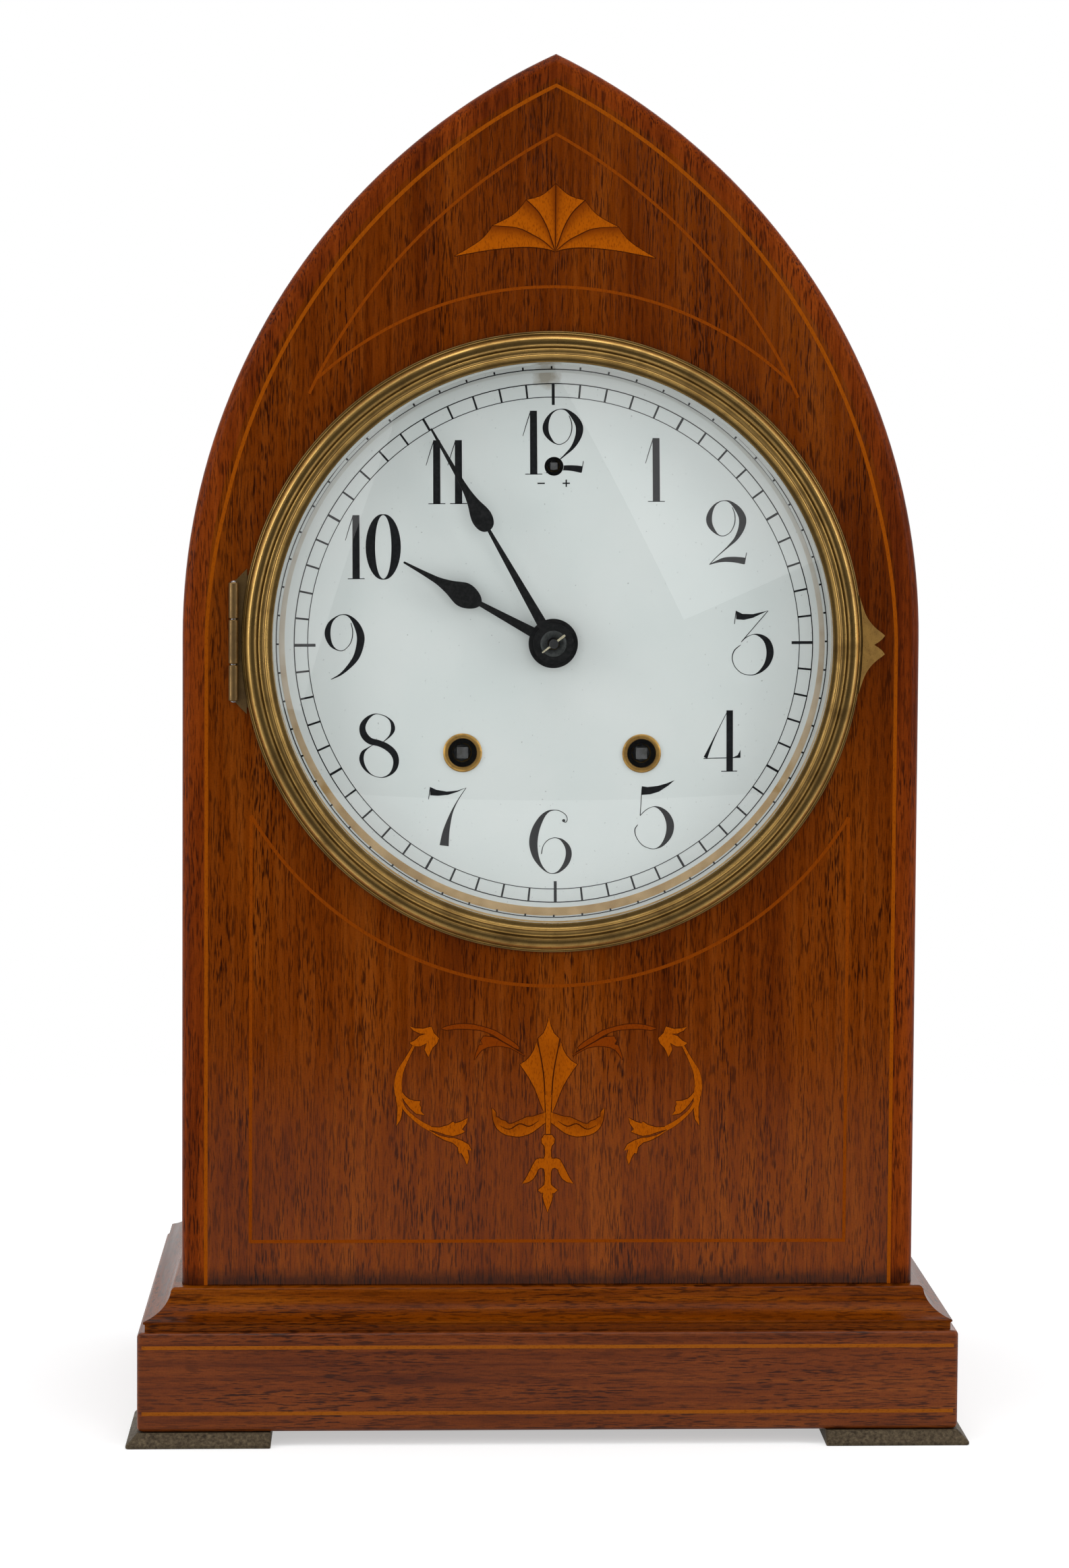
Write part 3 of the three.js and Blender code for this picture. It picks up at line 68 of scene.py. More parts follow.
def place_camera():
    """The view that was fitted to the outline of the case."""
    eye = Vector((-42.41, -1160.93, 264.52))
    yaw, pitch, roll = (radians(v) for v in (2.932, -3.626, 0.422))
    ahead = Vector((sin(yaw) * cos(pitch), cos(yaw) * cos(pitch), sin(pitch)))
    right = Vector((cos(yaw), -sin(yaw), 0.0))
    above = right.cross(ahead)
    turned_right = cos(roll) * right + sin(roll) * above
    turned_up = -sin(roll) * right + cos(roll) * above
    data = bpy.data.cameras.new("camera")
    data.lens = 93.28
    data.sensor_width = 36.0
    data.shift_x = -0.0439
    data.shift_y = -0.0367
    data.clip_start = 0.02
    data.clip_end = 60.0
    camera = placed("camera", data)
    turn = Matrix((turned_right, turned_up, -ahead)).transposed().to_4x4()
    camera.matrix_world = Matrix.Translation(eye * MM) @ turn
    bpy.context.scene.camera = camera


# Shapes

def spline(points, per=6, closed=False):
    """A smooth curve through the points, each a tuple of any length."""
    count = len(points)
    out = []
    for i in range(count if closed else count - 1):
        if closed:
            a, b, c, d = (points[(i + k) % count] for k in (-1, 0, 1, 2))
        else:
            a, b = points[max(i - 1, 0)], points[i]
            c, d = points[i + 1], points[min(i + 2, count - 1)]
        for k in range(per):
            t = k / per
            out.append(tuple(
                0.5 * (2 * q + (r - p) * t + (2 * p - 5 * q + 4 * r - s) * t * t
                       + (3 * q - p - 3 * r + s) * t ** 3)
                for p, q, r, s in zip(a, b, c, d)))
    if not closed:
        out.append(tuple(points[-1]))
    return out


def stroke(points, per=6, closed=False):
    """Four-sided faces along a path of (x, z, half width)."""
    path = spline(points, per, closed)
    count = len(path)
    sides = []
    for i, (x, z, half) in enumerate(path):
        before = path[(i - 1) % count] if closed else path[max(i - 1, 0)]
        after = path[(i + 1) % count] if closed else path[min(i + 1, count - 1)]
        along = Vector((after[0] - before[0], after[1] - before[1])).normalized()
        sides.append(((x - along.y * half, z + along.x * half), (x + along.y * half, z - along.x * half)))
    pairs = zip(sides, sides[1:] + sides[:1]) if closed else zip(sides, sides[1:])
    return [[a[1], b[1], b[0], a[0]] for a, b in pairs]


def band(path, width):
    return stroke([(x, z, width / 2) for x, z in path], 1)


def around(steps):
    """Angles of one full turn."""
    return [2 * pi * i / steps for i in range(steps)]


def circle(x, z, radius, steps):
    turn = 2 * pi / steps
    return [(x + radius * cos(i * turn), z + radius * sin(i * turn)) for i in range(steps)]


def other_half(half, middle=0.0):
    """The mirror image of half an outline, from its end back to its start."""
    return [(2 * middle - x, z) for x, z in reversed(half)]


def area(polygon):
    return sum(a[0] * b[1] - b[0] * a[1] for a, b in zip(polygon, polygon[1:] + polygon[:1])) / 2


def two_sheets(triangles, count):
    """Faces of a front and of a rear that has the same points again."""
    return [tuple(t) for t in triangles] + [tuple(i + count for i in reversed(t)) for t in triangles]


def layer(polygons, depth, thickness, holes=()):
    """One thin closed sheet that covers all the polygons but the holes, standing proud of a depth."""
    corners, faces = [], []
    for polygon in [*polygons, *holes]:
        turned = polygon if area(polygon) > 0 else polygon[::-1]
        faces.append(list(range(len(corners), len(corners) + len(turned))))
        corners += [Vector(p) for p in turned]
    points, _, triangles, _, _, sources = delaunay_2d_cdt(corners, [], faces, 1, 1e-4)
    triangles = [t for t, source in zip(triangles, sources) if source and max(source) < len(polygons)]
    count = len(points)
    verts = [(p.x, FRONT + depth - thickness, p.y) for p in points]
    verts += [(p.x, FRONT + depth, p.y) for p in points]
    faces = two_sheets(triangles, count)
    edges = [(t[k], t[(k + 1) % 3]) for t in triangles for k in range(3)]
    inner = set(edges)
    faces += [(b, a, a + count, b + count) for a, b in edges if (b, a) not in inner]
    return verts, faces


def skin(loops, wrap=False):
    """A closed surface over equal loops of points, one after another."""
    n, rows = len(loops[0]), len(loops)
    verts = [p for loop in loops for p in loop]
    faces = []
    for i in range(rows if wrap else rows - 1):
        a, b = i * n, (i + 1) % rows * n
        faces += [(a + j, a + (j + 1) % n, b + (j + 1) % n, b + j) for j in range(n)]
    if not wrap:
        faces += [tuple(reversed(range(n))), tuple((rows - 1) * n + j for j in range(n))]
    return verts, faces


def lathe(profile, steps, x=0.0, z=DIAL_Z):
    """A ring or a solid turned about a line that runs front to back; the profile is (radius, depth)."""
    loops = []
    for a in around(steps):
        loops.append([(x + r * sin(a), FRONT + d, z + r * cos(a)) for r, d in profile])
    return skin(loops, wrap=True)


def prism(outline, front, rear, holes=()):
    """A flat plate with holes; its outlines are (x, z)."""
    loops = [outline, *holes]
    flat = [p for loop in loops for p in loop]
    count = len(flat)
    triangles = tessellate_polygon([[Vector((x, z, 0.0)) for x, z in loop] for loop in loops])
    verts = [(x, FRONT + front, z) for x, z in flat] + [(x, FRONT + rear, z) for x, z in flat]
    faces = two_sheets(triangles, count)
    start = 0
    for loop in loops:
        n = len(loop)
        faces += [(start + i, start + (i + 1) % n, start + (i + 1) % n + count, start + i + count)
                  for i in range(n)]
        start += n
    return verts, faces


def oblong(x0, x1, y0, y1, z, radius, steps=4):
    """A level rectangle with rounded corners."""
    loop = []
    for cx, cy, start in ((x1 - radius, y1 - radius, 0), (x0 + radius, y1 - radius, 90),
                          (x0 + radius, y0 + radius, 180), (x1 - radius, y0 + radius, 270)):
        for k in range(steps + 1):
            a = radians(start + 90 * k / steps)
            loop.append((cx + radius * cos(a), cy + radius * sin(a), z))
    return loop


def joined(*shapes):
    """Several closed surfaces as one shape."""
    verts, faces = [], []
    for points, sides in shapes:
        faces += [tuple(i + len(verts) for i in side) for side in sides]
        verts += points
    return verts, faces


def build(name, shape, material, body, nodes=(), smooth=35, bevel=0.0):
    """One piece of the part: it rides on a body, has a slot and stands for the nodes it replaces."""
    verts, faces = shape
    mesh = bpy.data.meshes.new(name)
    mesh.from_pydata([(x * MM, y * MM, z * MM) for x, y, z in verts], [], faces)
    work = bmesh.new()
    work.from_mesh(mesh)
    bmesh.ops.remove_doubles(work, verts=work.verts[:], dist=1e-7)
    bmesh.ops.recalc_face_normals(work, faces=work.faces[:])
    work.to_mesh(mesh)
    work.free()
    mesh.shade_smooth()
    mesh.set_sharp_from_angle(angle=radians(smooth))
    mesh.materials.append(material)
    piece = placed(name, mesh)
    if bevel:
        edge = piece.modifiers.new("edge", "BEVEL")
        edge.width = bevel * MM
        edge.segments = 3
        edge.limit_method = "ANGLE"
        edge.angle_limit = radians(40)
        edge.harden_normals = True
    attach(piece, body)
    if nodes:
        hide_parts(*nodes)
    return piece


# Node trees

class Nodes:
    """A node tree, with short ways to add to it."""

    def __init__(self, tree):
        self.tree = tree

    def add(self, kind, inputs=None, **settings):
        node = self.tree.nodes.new(kind)
        for key, value in settings.items():
            setattr(node, key, value)
        for key, value in (inputs or {}).items():
            self.set(node.inputs[key], value)
        return node

    def set(self, socket, value):
        if isinstance(value, bpy.types.NodeSocket):
            self.tree.links.new(value, socket)
        else:
            socket.default_value = value

    def math(self, operation, a, b=0.0, c=0.0):
        return self.add("ShaderNodeMath", {0: a, 1: b, 2: c}, operation=operation).outputs[0]

    def rays(self, first, *others):
        """1 for rays of the named kinds, 0 for the rest."""
        path = self.add("ShaderNodeLightPath")
        total = path.outputs[first]
        for name in others:
            total = self.math("MAXIMUM", total, path.outputs[name])
        return total

    def either(self, share, a, b):
        """One surface, or a share of the other."""
        return self.add("ShaderNodeMixShader", {0: share, 1: a.outputs[0], 2: b.outputs[0]})

    def show(self, surface, output="Material Output"):
        self.set(self.tree.nodes[output].inputs["Surface"], surface.outputs[0])


class Shader(Nodes):
    """A material's node tree."""

    def __init__(self, name, **sockets):
        self.material = bpy.data.materials.new(name)
        self.material.use_nodes = True
        super().__init__(self.material.node_tree)
        self.surface = self.tree.nodes["Principled BSDF"]
        for key, value in sockets.items():
            self.surface.inputs[key.replace("_", " ")].default_value = value
        self.coordinates = self.add("ShaderNodeTexCoord").outputs["Object"]

    def noise(self, size, detail=2.0, roughness=0.5, distortion=0.0):
        """Noise whose grain is about this size in millimetres, or (x, y, z) millimetres."""
        sizes = size if isinstance(size, tuple) else (size, size, size)
        mapped = self.add("ShaderNodeMapping", {
            "Vector": self.coordinates, "Scale": tuple(1 / (v * MM) for v in sizes)})
        return self.add("ShaderNodeTexNoise", {
            "Vector": mapped.outputs[0], "Scale": 1.0, "Detail": detail, "Roughness": roughness,
            "Distortion": distortion}).outputs[0]

    def ramp(self, value, *stops):
        node = self.add("ShaderNodeValToRGB", {"Fac": value})
        points = node.color_ramp.elements
        while len(points) < len(stops):
            points.new(0.5)
        for point, (place, colour) in zip(points, stops):
            point.position = place
            point.color = colour if isinstance(colour, tuple) else (colour, colour, colour, 1.0)
        return node.outputs["Color"]

    def profile(self, length, pairs):
        """Brightness along a length, from (millimetres, brightness) pairs."""
        low, high = pairs[0][0], pairs[-1][0]
        place = self.math("DIVIDE", self.math("SUBTRACT", length, low * MM), (high - low) * MM)
        return self.ramp(place, *(((at - low) / (high - low), bright) for at, bright in pairs))

    def mix(self, share, a, b, blend="MIX"):
        return self.add("ShaderNodeMixRGB", {"Fac": share, "Color1": a, "Color2": b},
                        blend_type=blend).outputs[0]

    def darken(self, colour, tone):
        return self.mix(1.0, colour, tone, "MULTIPLY")

    def axis(self, name):
        return self.add("ShaderNodeSeparateXYZ", {0: self.coordinates}).outputs[name]

    def place(self, x, y, z):
        """Moves the points at which the material's patterns are looked up."""
        self.coordinates = self.add("ShaderNodeCombineXYZ", {"X": x, "Y": y, "Z": z}).outputs[0]

    def distance(self, a, b):
        return self.add("ShaderNodeVectorMath", {0: a, 1: b}, operation="DISTANCE").outputs["Value"]

    def away(self, x, z):
        """Distance in metres from a line that runs front to back."""
        flat = self.add("ShaderNodeVectorMath", {0: self.coordinates, 1: (1, 0, 1)}, operation="MULTIPLY")
        return self.distance(flat.outputs[0], (x, 0, z))

    def finish(self, colour, roughness, bump, strength, distance):
        """Joins the surface to its patterns; the bump's distance is in millimetres."""
        node = self.add("ShaderNodeBump", {
            "Height": bump, "Strength": strength, "Distance": distance * MM})
        for name, value in (("Base Color", colour), ("Roughness", roughness), ("Normal", node.outputs[0])):
            self.set(self.surface.inputs[name], value)
        return self.material


# Materials

def srgb(r, g, b):
    def linear(v):
        v /= 255
        return v / 12.92 if v <= 0.04045 else ((v + 0.055) / 1.055) ** 2.4
    return linear(r), linear(g), linear(b), 1.0


def bent_grain(s):
    """Wood grain that bends with the arch."""
    across = s.math("ADD", s.math("ABSOLUTE", s.axis("X")), CENTRE * MM)
    rise = s.math("MAXIMUM", s.math("SUBTRACT", s.axis("Z"), SPRING * MM), 0.0)
    radius = s.math("SQRT", s.math("ADD", *(s.math("MULTIPLY", v, v) for v in (across, rise))))
    foot = s.math("MINIMUM", s.axis("Z"), SPRING * MM)
    length = s.math("MULTIPLY_ADD", s.math("ARCTAN2", rise, across), (HALF + CENTRE) * MM, foot)
    s.place(radius, s.axis("Y"), length)


def mitred_grain(s):
    """Wood grain that turns the corner at the base's mitres."""
    x, y, z = (s.axis(name) for name in "XYZ")
    past = s.math("SUBTRACT", s.math("ABSOLUTE", x), s.math("ABSOLUTE", y))
    side = s.math("GREATER_THAN", past, (HALF + FRONT) * MM)
    s.place(s.math("MULTIPLY_ADD", side, s.math("SUBTRACT", y, x), x),
            s.math("MULTIPLY_ADD", side, s.math("SUBTRACT", x, y), y), z)


def wood(name, tones, pore, shine, gloss, upright=True, painted_light_by_height=None, grain=None):
    """Mahogany: broad figure, fine streaks and short dark pores along the grain.

    Painted light by height is (height, brightness) pairs: painted light and shade in bands up the board,
    darker at its foot. Grain is a function that turns the grain's direction."""
    def along(across, length):
        return (across, across, length) if upright else (length, length, across)
    s = Shader(name, Specular_IOR_Level=shine)
    if grain:
        grain(s)
    figure = s.noise(along(22, 150), 3, 0.55, 0.8)
    streak = s.noise(along(1.5, 60), 3, 0.6, 0.2)
    body = s.math("MULTIPLY_ADD", figure, 0.55, s.math("MULTIPLY", streak, 0.45))
    colour = s.ramp(body, *zip((0.34, 0.5, 0.64), (srgb(*tone) for tone in tones)))
    mottle = s.ramp(s.noise(0.5), (0.3, 0.82), (0.7, 1.0))
    colour = s.darken(colour, mottle)
    crowd = s.ramp(s.noise(along(9, 40)), (0.35, 0.0), (0.65, 1.0))
    lines = s.ramp(s.noise(along(0.34, 4.2), 1.5, 0.6), (0.5, 0.0), (0.63, 1.0))
    pores = s.darken(lines, s.mix(0.45, crowd, (1, 1, 1, 1)))
    colour = s.mix(pores, colour, srgb(*pore))
    # Painted light and shade in bands by height, their edge ragged; darker at the board's foot
    if painted_light_by_height:
        ragged = s.math("MULTIPLY", s.noise(2.5, 3), 3 * MM)
        colour = s.darken(colour, s.profile(s.math("SUBTRACT", s.axis("Z"), ragged), painted_light_by_height))
    rough = s.ramp(streak, (0.3, gloss), (0.7, gloss + 0.1))
    height = s.math("SUBTRACT", s.math("MULTIPLY", streak, 0.3), pores)
    return s.finish(colour, rough, height, 0.18, 0.06)


def metal(name, dull, clean, roughness, grain, tarnish=0.5, metallic=1.0, core=None, rings=None):
    """Aged metal: clean and dull patches, fine pits and a roughness that follows them.

    A core (x, z, radius), x and z in metres, is the steel arbor that a brass wheel sits on. Rings are
    (radius, brightness) pairs about the dial's middle: a turned ring, its hollows dark with tarnish and its
    ridges brightened by painted highlights."""
    s = Shader(name, Metallic=metallic)
    patch = s.noise(grain, 4, 0.6, 0.4)
    colour = s.ramp(patch, (0.3, srgb(*dull)), (0.45 + 0.3 * tarnish, srgb(*clean)))
    if core:
        x, z, radius = core
        steel = s.ramp(patch, (0.3, srgb(74, 74, 74)), (0.6, srgb(128, 128, 130)))
        colour = s.mix(s.math("LESS_THAN", s.away(x, z), radius * MM), colour, steel)
    # Tarnish darkens the rings' hollows; painted highlights brighten their ridges
    if rings:
        away = s.away(0, DIAL_Z * MM)
        turning = s.add("ShaderNodeTexNoise", {
            "W": s.math("MULTIPLY", away, 6000.0), "Scale": 1.0, "Detail": 2.0}, noise_dimensions="1D")
        fine = s.ramp(turning.outputs[0], (0.3, 0.72), (0.65, 1.0))
        colour = s.darken(colour, s.darken(s.profile(away, rings), fine))
    pits = s.ramp(s.noise(0.35), (0.62, 1.0), (0.74, 0.45))
    colour = s.darken(colour, pits)
    rough = s.ramp(patch, (0.3, min(roughness * 1.6, 1.0)), (0.7, roughness))
    return s.finish(colour, rough, pits, 0.15, 0.03)


def enamel():
    """Off-white dial: faint specks, a warm stain and worn patch below the 12 mark's outer end."""
    s = Shader("dial_white", Specular_IOR_Level=0.3)
    cloud = s.ramp(s.noise(30, 3), (0.35, srgb(219, 224, 223)), (0.7, srgb(225, 228, 227)))
    specks = s.ramp(s.noise(0.7, 1), (0.735, 1.0), (0.79, 0.62))
    away = s.distance(s.coordinates, (-0.0022, -0.058, 0.2889))
    ragged = s.math("ADD", away, s.math("MULTIPLY", s.noise(2.4, 3), 0.0042))
    stain = s.ramp(s.math("MULTIPLY", ragged, 100.0), (0.36, 0.75), (0.62, 0.0))
    colour = s.mix(stain, s.darken(cloud, specks), srgb(150, 138, 118))
    rough = s.ramp(s.noise(8), (0.3, 0.3), (0.7, 0.4))
    return s.finish(colour, rough, specks, 0.1, 0.02)


def bezel_reflection_paint():
    """A painted reflection of the bezel's brass as a ring near the dial's edge, bright below and fading
    into the enamel above.
    """
    low, tall = DIAL_Z - 75.0, 150.0
    s = Shader("painted_bezel_reflection", Specular_IOR_Level=0.3, Metallic=0.2)
    grain = s.noise(5, 3)
    reflected_brass = s.ramp(grain, (0.3, srgb(190, 154, 104)), (0.7, srgb(218, 184, 134)))
    rise = s.math("MULTIPLY", s.math("SUBTRACT", s.axis("Z"), low * MM), 1 / (tall * MM))
    ragged = s.math("MULTIPLY", s.math("SUBTRACT", grain, 0.5), 0.3)
    # The painted reflection shows below and fades into the enamel above
    worn = s.ramp(s.math("ADD", rise, ragged), (0.2, 0.0), (0.5, 0.55), (0.75, 0.9), (0.9, 1.0))
    rough = s.ramp(grain, (0.3, 0.28), (0.7, 0.4))
    return s.finish(s.mix(worn, reflected_brass, srgb(214, 217, 214)), rough, grain, 0.1, 0.02)


def ink(name, colour, spot, roughness):
    s = Shader(name, Specular_IOR_Level=0.15)
    tone = s.ramp(s.noise(0.8, 3), (0.4, srgb(*colour)), (0.75, srgb(*spot)))
    rough = s.ramp(s.noise(2), (0.3, roughness * 0.85), (0.7, roughness * 1.1))
    return s.finish(tone, rough, s.noise(0.5), 0.08, 0.02)


def veneer_inlay(name, colour, deep, grain=(0.35, 0.35, 0.9)):
    """Satinwood inlay; the shade attribute scorches it toward the deep colour."""
    colour, deep = srgb(*colour), srgb(*deep)
    s = Shader(name, Specular_IOR_Level=0.03)
    fine = s.noise(grain, 3)
    tone = s.ramp(fine, (0.2, deep), (0.5, colour), (0.8, colour))
    scorch = s.add("ShaderNodeAttribute", attribute_name="shade").outputs["Fac"]
    rough = s.ramp(fine, (0.3, 0.34), (0.7, 0.44))
    return s.finish(s.mix(scorch, tone, deep), rough, fine, 0.08, 0.03)


def clear_glass():
    """Window glass that lets the lamps reach the dial behind it."""
    s = Shader("clear_glass", Transmission_Weight=1.0, IOR=1.48, Roughness=0.0,
               Base_Color=(0.985, 0.995, 0.99, 1.0))
    through = s.add("ShaderNodeBsdfTransparent", {"Color": (0.97, 0.98, 0.975, 1.0)})
    s.show(s.either(s.rays("Is Shadow Ray", "Is Diffuse Ray", "Is Glossy Ray"), s.surface, through))
    return s.material


# Painted light and shade on the front's veneer by height, darker at its foot; and the bezel's rings by
# radius, tarnish dark in their hollows and painted highlights on their ridges
PAINTED_LIGHT_BY_HEIGHT = (41.8, 0.38), (45.5, 1.12), (95, 1.1), (150, 1.02), (230, 0.94), (300, 0.96), (345, 1.04)
RING_TARNISH_AND_HIGHLIGHTS = (
    (75.6, 0.3), (76.8, 0.34), (77.4, 0.95), (78.0, 0.36), (78.7, 0.38), (79.1, 0.9), (79.6, 0.34),
    (80.1, 0.6), (80.55, 0.34), (81.2, 0.3), (81.9, 0.5), (82.5, 1.5), (82.95, 0.6), (83.35, 0.6),
    (83.7, 0.4), (84.1, 0.34))

# Dull and clean colour, roughness, grain and tarnish of the movement's brass
MOVEMENT_TONES = (176, 140, 72), (204, 168, 94), 0.25, 18, 0.6

FRONT_WOOD = wood("front_veneer", ((88, 33, 0), (111, 47, 0), (128, 60, 5)), (46, 14, 0), 0.12, 0.11,
                  painted_light_by_height=PAINTED_LIGHT_BY_HEIGHT)
EDGE_WOOD = wood("edge_veneer", ((84, 28, 1), (116, 46, 3), (138, 60, 8)), (46, 13, 1), 0.04, 0.3,
                 painted_light_by_height=PAINTED_LIGHT_BY_HEIGHT)
SIDE_WOOD = wood("side_veneer", ((80, 29, 1), (110, 46, 4), (130, 62, 12)), (44, 14, 1), 0.08, 0.2,
                 grain=bent_grain)
BACK_WOOD = wood("back_wood", ((62, 30, 12), (86, 48, 22), (108, 66, 34)), (38, 18, 7), 0.1, 0.5)
BASE_WOOD = wood("base_wood", ((84, 34, 6), (112, 52, 14), (130, 66, 22)), (50, 19, 6), 0.16, 0.28,
                 upright=False, grain=mitred_grain)
MOULD_WOOD = wood("moulding_wood", ((74, 28, 0), (108, 48, 0), (134, 68, 4)), (42, 14, 0), 0.05, 0.2,
                  upright=False, grain=mitred_grain)
STRING = veneer_inlay("outer_string", (146, 70, 1), (120, 52, 1))
INNER_STRING = veneer_inlay("inner_string", (131, 58, 0), (106, 43, 0))
PLINTH_LINE = veneer_inlay("plinth_line", (146, 80, 20), (116, 56, 12), (0.9, 0.9, 0.35))
SATIN = veneer_inlay("satinwood", (164, 80, 0), (106, 43, 0))
AMBER = veneer_inlay("amber_wood", (130, 54, 0), (96, 36, 0))
JOINT = veneer_inlay("joint_line", (62, 22, 0), (44, 14, 0))
BEZEL_BRASS = metal("bezel_brass", (156, 120, 60), (204, 163, 90), 0.25, 9, 0.4, 0.8, rings=RING_TARNISH_AND_HIGHLIGHTS)
HARDWARE_BRASS = metal("hardware_brass", (90, 70, 42), (122, 96, 58), 0.3, 5, 0.7, 0.8)
COLLAR_BRASS = metal("collar_brass", (136, 102, 52), (184, 142, 74), 0.3, 4, 0.6, 0.8)
MOVEMENT_BRASS = metal("movement_brass", *MOVEMENT_TONES)
STEEL = metal("movement_steel", (92, 90, 88), (158, 158, 160), 0.28, 4, 0.4)
SPRING_STEEL = metal("spring_steel", (56, 60, 72), (104, 110, 124), 0.3, (6, 6, 2), 0.4)
WASHER_STEEL = metal("washer_steel", (28, 29, 30), (64, 66, 66), 0.4, 1.5, 0.5, 0.8)
PIN_BRASS = metal("pin_brass", (160, 150, 122), (216, 206, 178), 0.25, 1, 0.4, 0.7)
GONG_IRON = metal("gong_iron", (36, 38, 44), (74, 78, 88), 0.35, 5)
FOOT_BRONZE = metal("foot_bronze", (54, 44, 32), (88, 76, 56), 0.5, 0.9, 0.8, 0.7)
ENAMEL = enamel()
BEZEL_REFLECTION_PAINT = bezel_reflection_paint()
DIAL_BLACK = ink("dial_black", (17, 18, 21), (30, 31, 35), 0.45)
HAND_BLACK = ink("hand_black", (17, 18, 19), (36, 35, 36), 0.38)
# Painted shade: matte black for the rings behind the dial's holes
PAINTED_HOLE_SHADE = ink("painted_shade_black", (10, 9, 9), (20, 18, 17), 0.8)
GLASS = clear_glass()


# Case

def half_arch(inset, drift=0.0, steps=44):
    """The left half of the lancet outline, from the foot to the point; drift moves its bow further in."""
    radius = HALF + CENTRE - inset
    top = acos(CENTRE / (radius - drift))
    points = [(inset - HALF, BASE)]
    for i in range(steps + 1):
        a, bow = top * i / steps, radius - drift * min(1.0, 5 * i / steps)
        points.append((CENTRE - bow * cos(a), SPRING + bow * sin(a)))
    return points


def arch(inset, drift=0.0):
    left = half_arch(inset, drift)
    return left + other_half(left[:-1])


def quarter(edge, steps):
    """A rounded edge as (inset, fall) pairs, from its outer side to its top."""
    turns = [pi / 2 * i / steps for i in range(steps + 1)]
    return [(edge * (1 - cos(a)), edge * (1 - sin(a))) for a in turns]


def case_front():
    """The front board: a rounded edge of its own veneer, and a round hole behind the bezel."""
    edge, flat, opening = 3.5, 6.1, 78.9
    hole = circle(0, DIAL_Z, opening, 160)
    rows = [(0.0, BOARD), *quarter(edge, 6), (flat, 0.0)]
    loops = [[(x, FRONT + d, z) for x, z in arch(inset)] for inset, d in rows]
    verts, faces = skin(loops)
    faces = faces[:-2]
    rim = len(faces)
    n, start, count = len(loops[0]), len(verts), len(hole)
    verts += [(x, FRONT, z) for x, z in hole] + [(x, FRONT + BOARD, z) for x, z in hole]
    faces += [(start + i, start + (i + 1) % count, start + count + (i + 1) % count, start + count + i)
              for i in range(count)]
    for first, ring, inset in (((len(rows) - 1) * n, start, flat), (0, start + count, 0.0)):
        lists = [[Vector((x, z, 0)) for x, z in loop] for loop in (arch(inset), hole)]
        faces += [tuple(first + i if i < n else ring + i - n for i in t) for t in tessellate_polygon(lists)]
    piece = build("front_board", (verts, faces), FRONT_WOOD, "case", ["case_front"])
    piece.data.materials.append(EDGE_WOOD)
    for face in piece.data.polygons:
        if abs(face.normal.y) > 0.999:
            face.use_smooth = False
        if face.index < rim:
            face.material_index = 1


def case_sides():
    """The two bent sides, from behind the front board to the back board."""
    thick, front, rear, gap = 8.0, 12.1, 115.9, 0.02
    outer, inner = half_arch(0.0), half_arch(thick)
    left = [(min(x, -gap), z) for x, z in outer + inner[::-1]]
    for name, loop in (("left", left), ("right", [(-x, z) for x, z in left])):
        build("side_" + name, prism(loop, front, rear), SIDE_WOOD, "case",
              ["case_side_" + name])


def base():
    """The moulding under the case, and the plinth with its two inlaid lines."""
    def ring(projection, z, radius):
        x, y = HALF + projection, FRONT - projection
        return oblong(-x, x, y, -y, z, radius)
    cove = spline([(9.2, 33.95), (7.7, 34.5), (5.6, 35.8), (4.1, 37.4), (3.2, 39.0), (2.8, 40.2)], 3)
    profile = [(9.4, 31.1), (9.4, 32.9), (9.75, 33.05), (9.9, 33.35), (9.8, 33.7), *cove,
               (2.75, 40.7), (2.4, 41.25), (2.0, 41.6), (1.6, 41.7)]
    moulding = skin([ring(p, z, 0.25) for p, z in profile])
    build("base_moulding_run", moulding, MOULD_WOOD, "case", ["base_moulding"], smooth=30)
    out, low, high, edge = 11.4, 3.9, 31.0, 1.3
    corner = quarter(edge, 5)
    rows = [(out - inset, low + fall) for inset, fall in reversed(corner)]
    rows += [(out - inset, high - fall) for inset, fall in corner]
    build("plinth_block", skin([ring(p, z, edge) for p, z in rows]), BASE_WOOD, "case",
          ["plinth"], smooth=30)
    end = out + HALF - edge
    lines = [[(-end, z), (end, z), (end, z + 1.0), (-end, z + 1.0)] for z in (26.5, 8.5)]
    build("plinth_lines", layer(lines, -out, 0.05), PLINTH_LINE, "case")


def feet():
    """Four flared foot plates; each row is how far it flares out, and its height."""
    rows = [(2.6, 0.0), (2.9, 0.25), (2.9, 0.9), (2.65, 1.15), (1.6, 2.2), (0.75, 3.1), (0.2, 3.65),
            (0.0, 3.8)]
    near_x, far_x, near_y, far_y, corner = 75.4, 111.5, 35.4, 73.4, 0.6
    for name, sx, sy in (("front_left", -1, -1), ("front_right", 1, -1), ("rear_left", -1, 1),
                         ("rear_right", 1, 1)):
        loops = []
        for flare, z in rows:
            xs = sorted((sx * near_x, sx * (far_x + flare)))
            ys = sorted((sy * near_y, sy * (far_y + flare)))
            loops.append(oblong(*xs, *ys, z, corner))
        build("foot_plate_" + name, skin(loops), FOOT_BRONZE, "case", ["foot_" + name],
              smooth=25)


# Inlay

# How far inlay stands proud of the veneer
PROUD = 0.04


def inlay(name, polygons, material, depth=0.0, thickness=PROUD):
    return build(name, layer(polygons, depth, thickness), material, "case")


